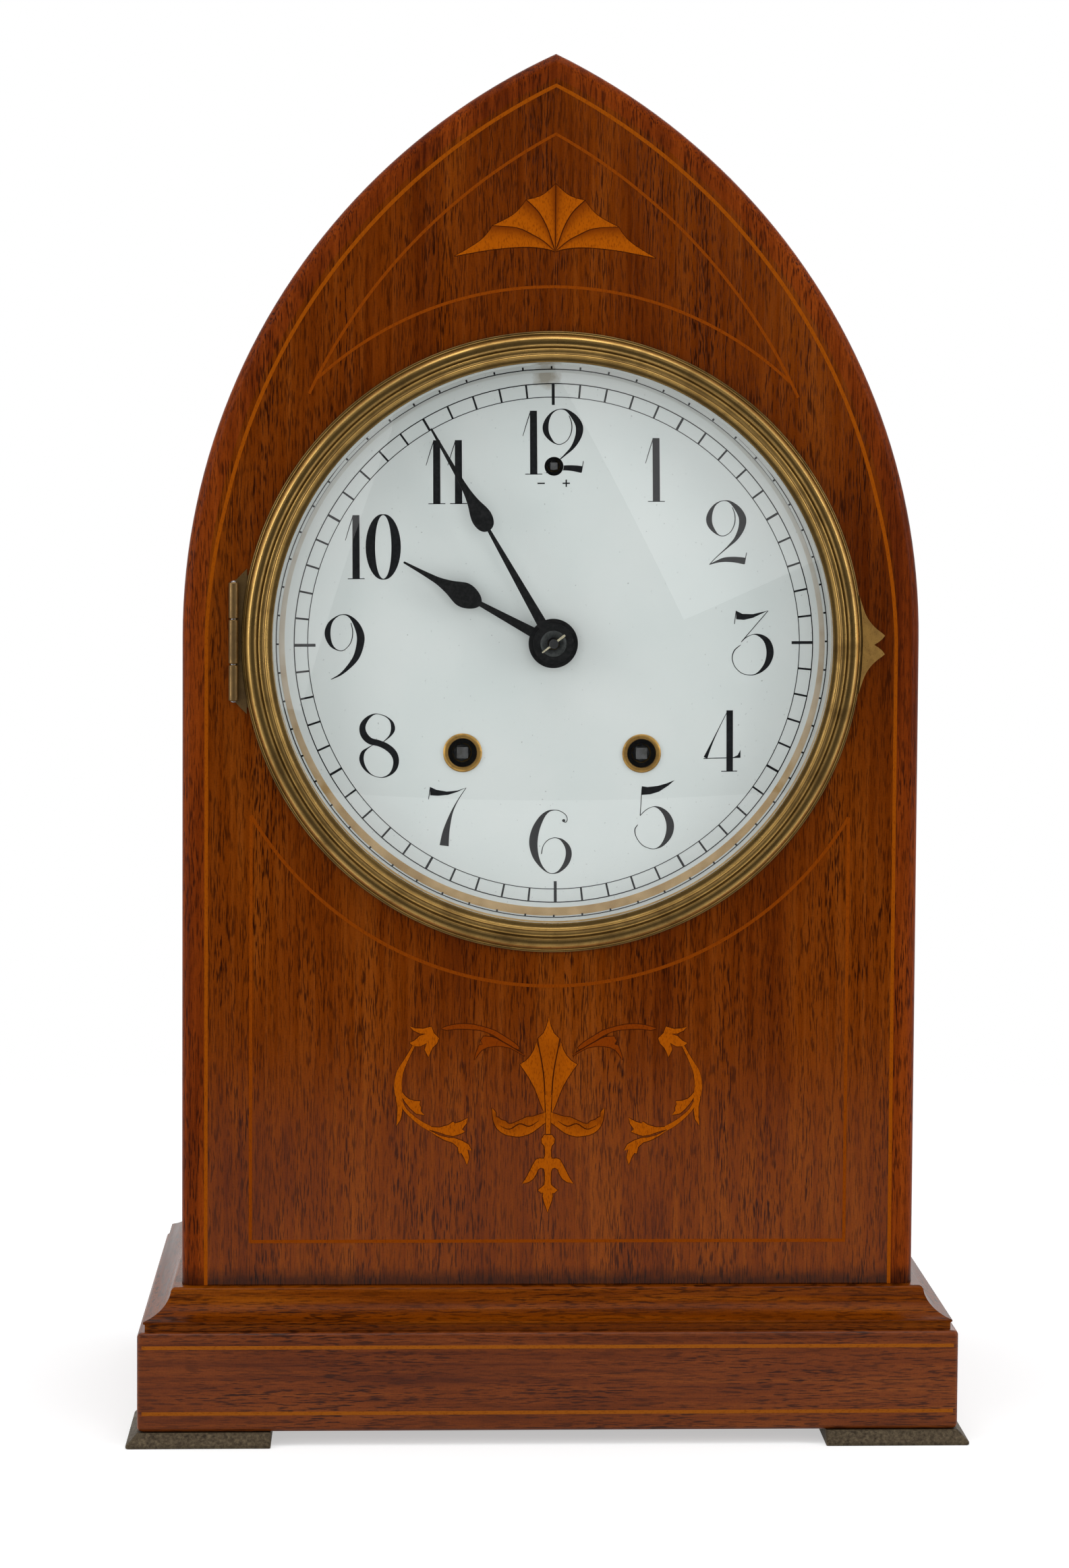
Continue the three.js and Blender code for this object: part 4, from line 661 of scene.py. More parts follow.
def arc_through(a, b, c, steps):
    """Points on the circle through three points, from the first to the last."""
    d = 2 * (a[0] * (b[1] - c[1]) + b[0] * (c[1] - a[1]) + c[0] * (a[1] - b[1]))
    sa, sb, sc = (p[0] ** 2 + p[1] ** 2 for p in (a, b, c))
    x = (sa * (b[1] - c[1]) + sb * (c[1] - a[1]) + sc * (a[1] - b[1])) / d
    z = (sa * (c[0] - b[0]) + sb * (a[0] - c[0]) + sc * (b[0] - a[0])) / d
    radius = hypot(a[0] - x, a[1] - z)
    start, middle, end = (atan2(p[1] - z, p[0] - x) for p in (a, b, c))
    while middle < start:
        middle += 2 * pi
    while end < start:
        end += 2 * pi
    if middle > end:
        end -= 2 * pi
    turn = [start + (end - start) * i / steps for i in range(steps + 1)]
    return [(x + radius * cos(t), z + radius * sin(t)) for t in turn]


def strings():
    """The outer string along the arch, and the strings round the lower and upper panels."""
    left, right, low, high, wide, fine = -81.4, 81.0, 53.8, 170.2, 0.9, 0.8
    outer_inset, drift, upper_inset, upper_foot = 6.6, 1.3, 19.4, 284.0
    lower = band([(left, high), (left, low)], wide)
    lower += band([(left - wide / 2, low), (right + wide / 2, low)], wide)
    lower += band([(right, low), (right, high)], wide)
    lower += band(arc_through((left, high), (-0.4, 123.9), (right, high), 60), wide)
    flank = [(x, z) for x, z in half_arch(upper_inset) if z > upper_foot]
    upper = band(flank + other_half(flank[:-1]), fine)
    upper += band(arc_through((-63.7, 288.4), (0.0, 313.4), (63.7, 288.4), 48), fine)
    inlay("outer_string", band(arch(outer_inset, drift), 1.0), STRING)
    inlay("inner_strings", lower + upper, INNER_STRING)


def shade(piece, values):
    """Stores how far each point of an inlay is scorched."""
    scorched = piece.data.attributes.new("shade", "FLOAT", "POINT")
    for i, vertex in enumerate(piece.data.vertices):
        scorched.data[i].value = values(vertex.co.x / MM, vertex.co.z / MM)


def fan():
    """Six sand-shaded petals that spread from one point."""
    foot, steps, columns = (0.0, 322.8), 16, 8
    hollow, seam, joint = 0.3, 0.14, 0.3
    rays = [[foot, (-3.4, 323.6), (-9.0, 323.9), (-17.5, 323.1), (-27.2, 321.3)],
            [foot, (-3.2, 325.6), (-6.2, 327.3), (-10.4, 329.1), (-17.0, 329.6)],
            [foot, (-1.2, 326.4), (-2.4, 329.6), (-4.6, 333.4), (-7.9, 336.6)],
            [foot, (0.0, 327.5), (0.0, 332.0), (0.0, 336.5), (0.0, 341.0)]]
    rays += [[(-x, z) for x, z in ray] for ray in rays[2::-1]]
    curves = [spline(ray, steps // 4) for ray in rays]
    petals = list(zip(curves, curves[1:]))
    row = columns + 1
    sheet = row * (steps + 1)
    verts, faces, burn = [], [], []

    def across(a, b, j, u):
        """A point of the petal between two rays, j steps out and a share u over; its end is hollow."""
        lag = j / steps * (1 - hollow * u * (1 - u))
        k = min(int(lag * steps), steps - 1)
        t = lag * steps - k
        p, q = (tuple(m + (n - m) * t for m, n in zip(c[k], c[k + 1])) for c in (a, b))
        return p[0] + (q[0] - p[0]) * u, p[1] + (q[1] - p[1]) * u

    for side, (a, b) in enumerate(petals):
        for front in (FRONT - PROUD, FRONT):
            for j in range(steps + 1):
                gap = seam / max(dist(a[j], b[j]), 0.4)
                for i in range(row):
                    u = gap + (1 - 2 * gap) * i / columns
                    x, z = across(a, b, j, u)
                    verts.append((x, front, z))
                    near = 1 - u if side < 3 else u
                    burn.append(min(1.0, max(0.0, 1 - near / 0.6) ** 1.6 + 0.5 * max(0.0, 1 - j / 5)))
        start = side * 2 * sheet
        for j in range(steps):
            for i in range(columns):
                q = start + j * row + i
                faces.append((q, q + 1, q + row + 1, q + row))
                faces.append(tuple(v + sheet for v in (q + row, q + row + 1, q + 1, q)))
        rim = list(range(row)) + [j * row + columns for j in range(1, steps + 1)]
        rim += [steps * row + i for i in reversed(range(columns))]
        rim += [j * row for j in range(steps - 1, 0, -1)]
        for m, n in zip(rim, rim[1:] + rim[:1]):
            faces.append((start + n, start + m, start + m + sheet, start + n + sheet))
    joints = [q for curve in curves for q in band(curve, joint)]
    for a, b in petals:
        joints += band([across(a, b, steps, i / columns) for i in range(row)], joint)
    inlay("fan_joints", joints, JOINT, thickness=PROUD / 2)
    piece = build("fan_inlay", (verts, faces), SATIN, "case")
    tones = {(round(x, 2), round(z, 2)): value for (x, _, z), value in zip(verts, burn)}
    shade(piece, lambda x, z: tones.get((round(x, 2), round(z, 2)), 0.0))


# The scroll's middle line
SCROLL_X = -0.4


def both_sides(*polygons):
    return [*polygons, *([(2 * SCROLL_X - x, z) for x, z in polygon] for polygon in polygons)]


def spear():
    """The left edge of the shaft, and the outlines of shaft, petals, horns and finial."""
    edge = [
        (-0.4, 115.4), (-1.0, 112.9), (-1.8, 111.0), (-3.4, 109.4), (-3.0, 107.0), (-2.4, 104.0),
        (-1.95, 101.4), (-1.55, 98.1), (-1.3, 94.0), (-1.1, 90.3), (-1.0, 83.3)]
    centre = edge + other_half(edge[1:], SCROLL_X)
    petal = [
        (-3.8, 108.5), (-4.35, 106.5), (-5.3, 104.8), (-6.6, 103.4), (-8.2, 102.4), (-6.9, 100.6),
        (-5.5, 98.4), (-4.3, 96.2), (-3.4, 94.0), (-2.6, 91.8), (-1.9, 90.0), (-1.35, 88.9),
        (-1.5, 94.0), (-1.75, 98.1), (-2.15, 101.4), (-2.6, 104.0), (-3.2, 107.0)]
    horn = spline([
        (-1.2, 89.2), (-3.1, 88.6), (-4.6, 88.1), (-6.1, 88.0), (-7.9, 87.2), (-9.2, 86.6),
        (-10.5, 86.1), (-11.4, 86.2), (-12.1, 86.9), (-13.1, 87.1), (-14.0, 87.8), (-14.7, 88.1),
        (-14.7, 89.2), (-15.8, 90.5)], 2)
    horn += spline([
        (-15.6, 88.4), (-15.2, 86.4), (-14.1, 84.5), (-12.2, 83.2), (-10.0, 82.7), (-7.9, 82.6),
        (-5.3, 83.4), (-3.4, 84.7), (-1.2, 86.4)], 3)
    bud = [
        (-0.4, 83.0), (-1.5, 83.0), (-2.2, 81.9), (-2.1, 80.8), (-1.4, 80.0), (-1.2, 78.9),
        (-1.2, 77.2), (-1.5, 76.5), (-2.7, 76.6), (-3.7, 76.2), (-4.5, 74.8), (-5.3, 73.2),
        (-6.2, 71.4), (-7.4, 69.6), (-5.7, 70.0), (-4.4, 70.9), (-3.6, 72.2), (-3.1, 73.5),
        (-2.3, 74.0), (-1.5, 73.7), (-1.2, 72.6), (-1.2, 70.6), (-1.3, 69.3), (-2.2, 68.5),
        (-3.1, 67.8), (-2.2, 67.0), (-1.6, 67.0), (-1.75, 66.0), (-1.4, 64.6), (-0.9, 63.2),
        (-0.4, 61.6)]
    finial = bud + other_half(bud[1:-1], SCROLL_X)
    return edge, [centre, *both_sides(petal, horn), finial]


def scroll_leaves():
    """Flower, leaves, branch and stem on each side of the spear."""
    flower = [
        (-38.4, 112.9), (-36.8, 112.3), (-34.6, 112.2), (-32.4, 112.8), (-31.7, 111.0), (-30.3, 109.6),
        (-30.8, 108.2), (-32.0, 107.0), (-32.6, 105.8), (-33.1, 104.4), (-34.2, 106.4), (-33.6, 108.3),
        (-35.4, 107.3), (-37.2, 107.4), (-38.3, 108.3), (-37.0, 108.9), (-35.6, 110.2), (-33.8, 110.8),
        (-35.6, 110.9), (-37.2, 111.7)]
    leaf = [
        (-40.4, 95.0), (-39.4, 93.7), (-38.4, 92.9), (-36.9, 92.4), (-35.3, 92.3), (-35.5, 91.4),
        (-35.1, 90.6), (-35.2, 89.7), (-34.2, 88.5), (-36.4, 88.9), (-38.0, 90.3), (-39.3, 91.9),
        (-40.6, 94.0)]
    spur = [
        (-42.0, 93.2), (-41.5, 90.6), (-41.6, 87.6), (-41.8, 85.5), (-40.6, 87.3), (-40.2, 89.8),
        (-40.6, 91.8), (-41.2, 93.4)]
    tail = [
        (-33.4, 85.3), (-30.0, 85.1), (-27.6, 85.8), (-26.3, 86.7), (-25.9, 86.2), (-24.4, 86.6),
        (-22.4, 87.7), (-22.7, 86.2), (-23.9, 84.6), (-23.1, 83.9), (-24.4, 83.3), (-26.3, 82.7),
        (-28.4, 83.1), (-30.6, 83.9), (-32.6, 84.4)]
    branch = [
        (-33.4, 84.6), (-30.0, 82.9), (-27.6, 82.3), (-26.0, 82.2), (-23.8, 81.4), (-22.1, 80.4),
        (-21.2, 78.7), (-22.4, 79.0), (-21.9, 76.8), (-22.5, 74.7), (-23.3, 76.8), (-24.0, 78.0),
        (-24.7, 77.9), (-25.0, 79.6), (-26.4, 80.9), (-28.6, 81.6), (-31.0, 82.9)]
    stems = stroke([
        (-37.2, 107.4, 0.3), (-39.2, 103.6, 0.5), (-40.8, 100.4, 0.85), (-41.4, 97.1, 1.0),
        (-41.2, 94.4, 1.0), (-40.6, 92.2, 0.55), (-39.4, 90.0, 0.42), (-37.2, 87.8, 0.5),
        (-34.8, 86.0, 0.62), (-32.6, 84.8, 0.7)], 5)
    return both_sides(flower, leaf, spur, tail, branch, *stems)


def scroll_arms():
    """The darker arm and plume that reach over to the spear's petals."""
    arm = spline([
        (-29.8, 112.3), (-27.2, 113.1), (-24.2, 113.5), (-20.9, 113.3), (-17.6, 112.5), (-15.0, 111.6),
        (-12.5, 110.1), (-9.9, 108.4), (-8.4, 107.0)], 3)
    arm += spline([
        (-8.7, 106.5), (-10.6, 107.4), (-13.2, 109.0), (-15.8, 110.6), (-18.3, 111.6), (-20.9, 112.0),
        (-25.0, 112.2), (-28.3, 111.8)], 3)
    plume = [
        (-20.6, 103.6), (-20.3, 105.1), (-19.8, 106.6), (-19.4, 107.6), (-18.4, 107.9), (-18.9, 109.0),
        (-18.2, 110.1), (-15.8, 109.9), (-13.9, 109.2), (-12.1, 108.1), (-9.9, 107.0), (-8.0, 105.8),
        (-6.9, 104.7), (-9.1, 106.0), (-11.0, 107.0), (-13.2, 107.4), (-15.4, 107.4), (-17.2, 107.1),
        (-18.7, 106.3), (-19.6, 105.2), (-20.1, 104.4)]
    return both_sides(plume, arm)


def scroll():
    """The spear and the scroll beside it, with their joints and veins."""
    edge, shaft = spear()
    leaves, arms = scroll_leaves(), scroll_arms()
    joint, vein = 0.2, 0.13
    edges = [q for polygon in shaft + leaves + arms
             for q in stroke([(x, z, joint) for x, z in polygon], 1, True)]
    inlay("scroll_joints", edges, JOINT, thickness=PROUD / 2)
    piece = inlay("scroll_inlay", shaft + leaves, SATIN)

    def scorch(x, z):
        """The petals are scorched beside the shaft, and the horns along their top."""
        out = abs(x - SCROLL_X)
        if 90 < z < 110 and out < 9:
            return 0.3 * exp(-((out - 2.6) / 1.6) ** 2)
        return 0.6 if 1.5 < out < 15.5 and 85.6 < z < 89.5 else 0.0
    shade(piece, scorch)
    seam = [(x, z, vein) for x, z in edge[3:9]]
    fold = [
        (-3.0, 86.9, 0.05), (-5.6, 85.4, 0.15), (-8.2, 86.1, 0.15), (-11.0, 84.6, 0.13),
        (-13.6, 85.6, 0.05)]
    parting = [(-16.6, 110.6, 0.06), (-13.4, 108.9, 0.14), (-10.4, 107.2, 0.14), (-7.6, 105.4, 0.06)]
    veins = both_sides(*stroke(seam, 3), *stroke(fold, 4), *stroke(parting, 4))
    inlay("scroll_veins", veins, JOINT, -PROUD, PROUD / 2)
    shade(inlay("scroll_arms", arms, AMBER), lambda x, z: 0.2)


# Dial

def glyphs():
    """The ten figures, each as polygons about its own middle, 17.5 mm tall."""
    def bar(x0, z0, x1, z1, half):
        return stroke([(x0, z0, half), (x1, z1, half)], 1)

    one = [[(-0.95, 8.65), (0.95, 8.65), (0.98, -8.65), (-0.98, -8.65)]]
    one += stroke([(-0.85, 8.3, 0.12), (-1.8, 5.4, 0.11), (-2.9, 1.8, 0.08)], 4)
    one += bar(-2.3, -8.6, 2.3, -8.6, 0.11)
    two = stroke([
        (1.66, 7.0, 0.1), (2.36, 4.9, 0.13), (2.26, 2.5, 0.13), (1.16, 0.3, 0.1), (-0.64, -0.8, 0.1),
        (-2.24, -0.5, 0.16), (-3.6, 0.8, 0.48), (-4.5, 2.3, 0.72), (-4.74, 3.9, 0.8), (-4.3, 5.7, 0.6),
        (-3.3, 7.4, 0.3), (-2.0, 8.4, 0.14), (-0.4, 8.8, 0.1), (1.2, 8.35, 0.32), (3.0, 6.7, 0.75),
        (4.2, 4.8, 0.95), (4.5, 3.1, 1.0), (4.0, 0.9, 0.82), (2.6, -1.6, 0.5), (0.6, -3.6, 0.24),
        (-1.2, -5.2, 0.13), (-3.2, -7.0, 0.1), (-4.7, -8.6, 0.1)])
    two += stroke([
        (-4.7, -8.6, 0.1), (-2.75, -7.85, 0.3), (-0.65, -7.3, 0.6), (1.8, -7.25, 0.75),
        (3.95, -7.5, 0.88), (5.0, -7.7, 0.92)])
    two += bar(5.5, -5.4, 4.95, -8.5, 0.1)
    three = [[
        (-4.6, 8.8), (-2.9, 7.95), (0.0, 7.85), (4.2, 8.8), (0.0, 6.85), (-2.5, 6.3), (-4.6, 6.5)]]
    three += bar(-5.1, 5.2, -4.6, 8.8, 0.1) + bar(4.2, 8.75, -3.2, 0.3, 0.1)
    three += stroke([
        (-3.2, 0.3, 0.1), (-1.8, 1.55, 0.1), (0.3, 2.35, 0.1), (2.45, 1.75, 0.5), (4.1, 0.1, 0.88),
        (4.75, -2.7, 1.0), (4.0, -5.5, 0.78), (2.45, -7.45, 0.45), (0.7, -8.55, 0.15),
        (-1.1, -8.75, 0.1), (-3.2, -8.15, 0.1), (-5.0, -6.4, 0.1), (-5.7, -4.1, 0.12),
        (-5.1, -2.0, 0.14), (-3.4, -0.55, 0.08)])
    four = [[(1.2, 8.45), (3.0, 8.45), (3.02, -8.3), (1.22, -8.3)],
            [(3.0, -4.45), (4.3, -3.9), (5.1, -2.4), (5.1, -4.6), (3.0, -4.65)]]
    four += stroke([(1.5, 8.25, 0.08), (-1.4, 2.5, 0.12), (-3.3, -1.6, 0.3), (-4.55, -4.5, 0.55)])
    four += bar(-5.1, -4.7, 3.35, -4.5, 0.11) + bar(-0.2, -8.25, 4.2, -8.25, 0.12)
    five = [[
        (-3.5, 7.9), (-1.9, 7.65), (0.9, 7.95), (3.4, 8.65), (5.55, 9.5), (3.7, 7.95), (1.2, 6.35),
        (-1.2, 5.65), (-3.5, 5.5)]]
    five += bar(-3.45, 7.6, -3.95, -0.2, 0.1)
    five += stroke([
        (-3.95, -0.2, 0.1), (-2.3, 1.4, 0.1), (-0.2, 2.25, 0.1), (1.7, 1.6, 0.45), (3.4, -0.2, 0.85),
        (4.3, -2.8, 1.05), (3.9, -5.65, 0.9), (2.3, -8.2, 0.45), (0.5, -9.3, 0.12), (-1.25, -9.3, 0.1),
        (-3.35, -8.3, 0.1), (-4.95, -6.2, 0.1), (-5.4, -4.05, 0.14), (-4.6, -2.7, 0.1)])
    six = [circle(3.65, 5.85, 0.42, 14)]
    six += stroke([
        (3.7, 5.5, 0.1), (4.2, 5.4, 0.12), (4.6, 6.0, 0.1), (4.5, 6.9, 0.1), (3.9, 7.7, 0.1),
        (2.6, 8.5, 0.1), (1.0, 8.75, 0.1), (-0.7, 8.3, 0.3), (-2.4, 6.6, 0.68), (-4.0, 3.4, 1.05),
        (-4.65, -0.15, 1.15), (-4.1, -3.7, 0.88), (-2.7, -6.5, 0.42), (-0.95, -8.3, 0.15),
        (0.65, -8.75, 0.1), (2.4, -8.15, 0.32), (4.2, -6.1, 0.7), (5.0, -3.7, 0.82), (4.7, -1.55, 0.7),
        (3.45, 0.2, 0.4), (2.2, 0.95, 0.15), (0.8, 1.1, 0.1), (-0.8, 0.4, 0.1), (-2.0, -1.2, 0.1),
        (-2.45, -3.3, 0.12)])
    seven = [[
        (-4.7, 8.1), (-3.0, 7.3), (-0.15, 6.8), (2.7, 7.05), (5.2, 7.9), (2.7, 6.7), (0.2, 5.9),
        (-2.6, 5.65), (-4.7, 5.8)]]
    seven += bar(-5.15, 4.7, -4.65, 8.0, 0.1)
    seven += stroke([
        (5.1, 7.8, 0.08), (2.9, 4.5, 0.12), (1.3, 1.4, 0.28), (0.3, -1.5, 0.6), (-0.5, -4.6, 0.95),
        (-1.0, -8.1, 1.25)])
    eight = stroke([
        (1.7, 8.1, 0.12), (-0.65, 8.7, 0.1), (-2.6, 7.9, 0.38), (-4.1, 6.2, 0.72), (-4.5, 4.5, 0.85),
        (-3.9, 2.7, 0.95), (-2.4, 1.3, 0.9), (0.0, 0.65, 0.85), (2.2, -0.4, 0.9), (3.9, -2.0, 0.9),
        (4.6, -4.0, 0.8), (4.2, -6.2, 0.65), (2.8, -7.9, 0.3), (0.6, -8.7, 0.1), (-2.0, -8.0, 0.12),
        (-3.9, -6.2, 0.4), (-4.8, -4.0, 0.6), (-4.5, -2.0, 0.5), (-3.3, -0.8, 0.2), (-1.7, 0.2, 0.08)])
    eight += stroke([
        (1.0, 0.9, 0.08), (2.9, 2.6, 0.25), (3.8, 4.3, 0.55), (3.65, 6.0, 0.45), (2.9, 7.2, 0.22),
        (1.7, 8.1, 0.12)])
    nine = stroke([
        (1.8, 6.45, 0.1), (2.25, 4.25, 0.13), (2.05, 2.1, 0.13), (1.25, 0.35, 0.1), (-0.5, -1.1, 0.1),
        (-2.3, -0.75, 0.16), (-3.8, 0.7, 0.5), (-4.6, 3.4, 0.8), (-4.1, 5.9, 0.6), (-2.8, 7.6, 0.25),
        (-0.7, 8.7, 0.1), (1.4, 8.2, 0.3), (3.3, 6.0, 0.8), (4.4, 3.0, 1.05), (4.2, 0.2, 1.0),
        (3.2, -2.8, 0.85), (1.4, -5.2, 0.6), (-1.1, -7.5, 0.3), (-3.75, -8.9, 0.08)])
    nought = stroke([(3.5 * cos(a), 8.75 * sin(a), 0.1 + 1.18 * abs(cos(a)) ** 1.2)
                     for a in around(40)], 1, True)
    return nought, one, two, three, four, five, six, seven, eight, nine


# Thickness of the print on the dial
INK = 0.03


def dial_face():
    radius, rear = 76.5, 5.2
    hand_hole, regulator_hole, winding_hole = 4.2, 2.55, 4.6
    holes = [circle(0, DIAL_Z, hand_hole, 48), circle(0, REGULATOR_Z, regulator_hole, 40)]
    holes += [circle(x, WINDING_Z, winding_hole, 48) for x in (-WINDING_X, WINDING_X)]
    face = prism(circle(0, DIAL_Z, radius, 160), DIAL_DEPTH, rear, holes)
    build("dial_face", face, ENAMEL, "case", ["dial"])


def dial_numerals():
    """The numerals about the dial's middle; a place is a figure, its x and its z."""
    figures = glyphs()
    places = [
        (1, 27.9, 47.2), (2, 47.0, 30.0), (3, 54.2, 0.0), (4, 45.7, -26.8), (5, 27.2, -46.8),
        (6, -1.3, -54.0), (7, -29.3, -46.8), (8, -47.8, -27.4), (9, -57.0, -0.4), (1, -53.7, 26.6),
        (0, -46.3, 26.6), (1, -31.7, 46.8), (1, -25.8, 46.8), (1, -5.4, 54.7), (2, 2.6, 55.0)]
    return [[(px + x, pz + z) for px, pz in polygon]
            for figure, x, z in places for polygon in figures[figure]]


def dial_track():
    """Two fine circles with sixty marks between them, and the signs beside the regulator's hole."""
    inner, outer, sign_x, sign_z, sign, half = 67.05, 70.75, 3.4, 43.6, 1.0, 0.18
    track = []
    for line, radius in ((0.14, outer), (0.11, inner)):
        track += stroke([(x, z, line) for x, z in circle(0, 0, radius, 240)], 1, True)
    for i in range(60):
        a = radians(6 * i)
        start, mark = (64.9, 0.4) if i % 15 == 0 else (inner, 0.32 if i % 5 == 0 else 0.26)
        track += stroke([(r * sin(a), r * cos(a), mark) for r in (start, outer)], 1)
    for x in (-sign_x, sign_x):
        track += stroke([(x - sign, sign_z, half), (x + sign, sign_z, half)], 1)
    track += stroke([(sign_x, sign_z - sign, half), (sign_x, sign_z + sign, half)], 1)
    return track


def dial_print():
    """Numerals and track, printed a little small, turned and off the middle."""
    size, tilt, shift_x, shift_z, hole = 0.985, 0.0105, 0.4, DIAL_Z - 0.28, 2.6
    for name, polygons in (("dial_numerals", dial_numerals()), ("dial_track", dial_track())):
        printed = [[(shift_x + size * x - tilt * z, shift_z + size * z + tilt * x) for x, z in polygon]
                   for polygon in polygons]
        shape = layer(printed, DIAL_DEPTH, INK, [circle(0, REGULATOR_Z, hole, 40)])
        build(name, shape, DIAL_BLACK, "case")


def painted_bevel_images():
    """A painted reflection of the bezel's brass, wider below, and about it a painted refraction: the minute
    track's outer line and marks drawn again where the glass's bevel shows them.
    """
    # A painted reflection of the bezel's brass, wider below
    outside, inside = circle(0, DIAL_Z - 0.3, 73.4, 200), circle(0, DIAL_Z + 0.5, 71.9, 200)
    reflection_ring = prism(outside, DIAL_DEPTH - INK, DIAL_DEPTH, [inside])
    build("painted_reflection_ring", reflection_ring, BEZEL_REFLECTION_PAINT, "case")
    # Painted refraction: the track's outer line and its sixty marks, drawn further out where the bevel of
    # the glass bends their image
    outer, upper, marks = 74.15, 73.3, 73.45

    def turn(radius, degrees, half):
        a = radians(degrees)
        return radius * sin(a), DIAL_Z + radius * cos(a), half
    track_image = stroke([turn(outer, a, 0.13 if 50 < a < 310 else 0.03) for a in range(42, 319, 4)], 2)
    track_image += stroke([turn(upper, a, 0.14 * cos(radians(a)) ** 2) for a in range(-72, 73, 4)], 2)
    for i in range(60):
        track_image += stroke([turn(r, 6 * i - 0.6, 0.24) for r in (marks, outer)], 1)
    build("painted_track_image", layer(track_image, DIAL_DEPTH, 0.04), DIAL_BLACK, "case")


def dial_holes():
    """Brass collars in the winding holes, and matte black rings deep behind the holes: painted shade for
    the dark inside the case.
    """
    collar = [(3.85, 5.3), (3.85, 3.75), (4.0, 3.5), (4.45, 3.42), (4.95, 3.55), (5.2, 3.8), (5.2, 3.95),
              (4.5, 3.95), (4.5, 5.3)]
    for name, x in (("strike", -WINDING_X), ("time", WINDING_X)):
        build("winding_collar_" + name, lathe(collar, 56, x, WINDING_Z), COLLAR_BRASS, "case",
              ["grommet_" + name])
    # Painted shade: black rings behind the holes, so the holes look dark inside
    front, rear, outer = 6.6, 6.9, 6.0
    for name, inner, x, z in (("time", 2.6, WINDING_X, WINDING_Z), ("strike", 2.6, -WINDING_X, WINDING_Z),
                              ("regulator", 1.7, 0, REGULATOR_Z)):
        rim = [(inner, front), (outer, front), (outer, rear), (inner, rear)]
        build("hole_shade_" + name, lathe(rim, 48, x, z), PAINTED_HOLE_SHADE, "case")


# Bezel

def bezel_band():
    """The turned brass ring, from its foot on the board over its beads to the lip that holds the glass."""
    section = [
        (84.1, -0.95), (84.1, -1.5), (83.95, -1.75), (83.75, -1.8), (83.65, -1.72), (83.55, -1.95),
        (83.4, -2.12), (83.22, -2.1), (83.1, -1.95), (83.02, -2.3), (82.98, -2.9), (82.88, -3.5),
        (82.7, -4.05), (82.45, -4.5), (82.15, -4.85), (81.8, -5.08), (81.5, -5.15), (81.1, -5.14),
        (80.75, -5.1), (80.5, -5.07), (80.4, -5.15), (80.28, -5.36), (80.1, -5.5), (79.92, -5.44),
        (79.8, -5.28), (79.7, -5.14), (79.6, -5.1), (79.5, -5.2), (79.4, -5.44), (79.25, -5.68),
        (79.05, -5.76), (78.88, -5.7), (78.75, -5.6), (78.62, -5.58), (78.3, -5.66), (77.96, -5.76),
        (77.9, -6.0), (77.82, -6.32), (77.66, -6.6), (77.4, -6.74), (77.14, -6.66), (76.95, -6.44),
        (76.86, -6.28), (76.6, -6.24), (76.1, -6.18), (75.8, -6.12), (75.66, -6.02), (75.62, -5.85),
        (75.66, -5.7), (76.3, -5.46), (78.35, -5.44), (78.35, -0.95)]
    build("bezel_band", lathe(section, 200), BEZEL_BRASS, "bezel", ["bezel_ring"], smooth=60)


def bezel_glass():
    """The convex glass and the ring that holds it from behind."""
    def dome(reach, apex, radius=420.5, steps=24):
        across = [reach * i / steps for i in range(steps + 1)]
        return [(r, apex + radius - sqrt(radius * radius - r * r)) for r in across]
    rim = [(75.55, -5.5), (76.28, -5.37), (78.1, -5.36), (78.2, -5.2), (78.2, -3.7), (78.0, -3.5),
           (75.4, -3.5)]
    glass = dome(75.0, -13.0) + rim + dome(74.8, -11.2)[::-1]
    build("convex_glass", lathe(glass, 160), GLASS, "bezel", ["bezel_glass"], smooth=12)
    ring = [(76.15, -3.35), (78.15, -3.35), (78.15, -1.85), (77.6, -1.85), (76.6, -2.2), (76.15, -2.6)]
    build("glass_retainer", lathe(ring, 160), BEZEL_BRASS, "bezel", ["glass_retaining_ring"])


def bezel_tab():
    """The thumb tab at the right, its inner edge on the bezel's own circle."""
    inner, spread, steps = 84.15, 9.0, 12
    fall = [(84.0, 10.6), (84.6, 8.9), (85.5, 7.1), (86.8, 5.4), (88.2, 4.1), (89.3, 3.3), (90.2, 2.5)]
    flank = [(83.06, 13.4), *spline(fall, 3), (89.4, 1.5), (88.4, 0.7), (87.3, 0.0)]
    outline = [(x, DIAL_Z + z) for x, z in flank] + [(x, DIAL_Z - z) for x, z in reversed(flank[:-1])]
    for i in reversed(range(steps + 1)):
        a = radians(spread - 2 * spread * i / steps)
        outline.append((inner * cos(a), DIAL_Z + inner * sin(a)))
    build("lift_tab", prism(outline, -1.95, -0.95), COLLAR_BRASS, "bezel", ["bezel_tab"],
          bevel=0.18)


def knuckle(low, high, radius=1.35, bore=0.9, lip=0.25, steps=28):
    """An upright barrel or pin on the hinge line, its ends eased; heights are from the dial's middle."""
    hinge_x, hinge_y = -86.1, FRONT - 2.5
    rows = [(low, radius - lip), (low + lip, radius), (high - lip, radius), (high, radius - lip)]
    if bore:
        rows = [(low, bore), *rows, (high, bore)]
    loops = []
    for z, r in rows:
        loops.append([(hinge_x + r * cos(t), hinge_y + r * sin(t), DIAL_Z + z)
                      for t in around(steps)])
    return skin(loops, wrap=bool(bore))


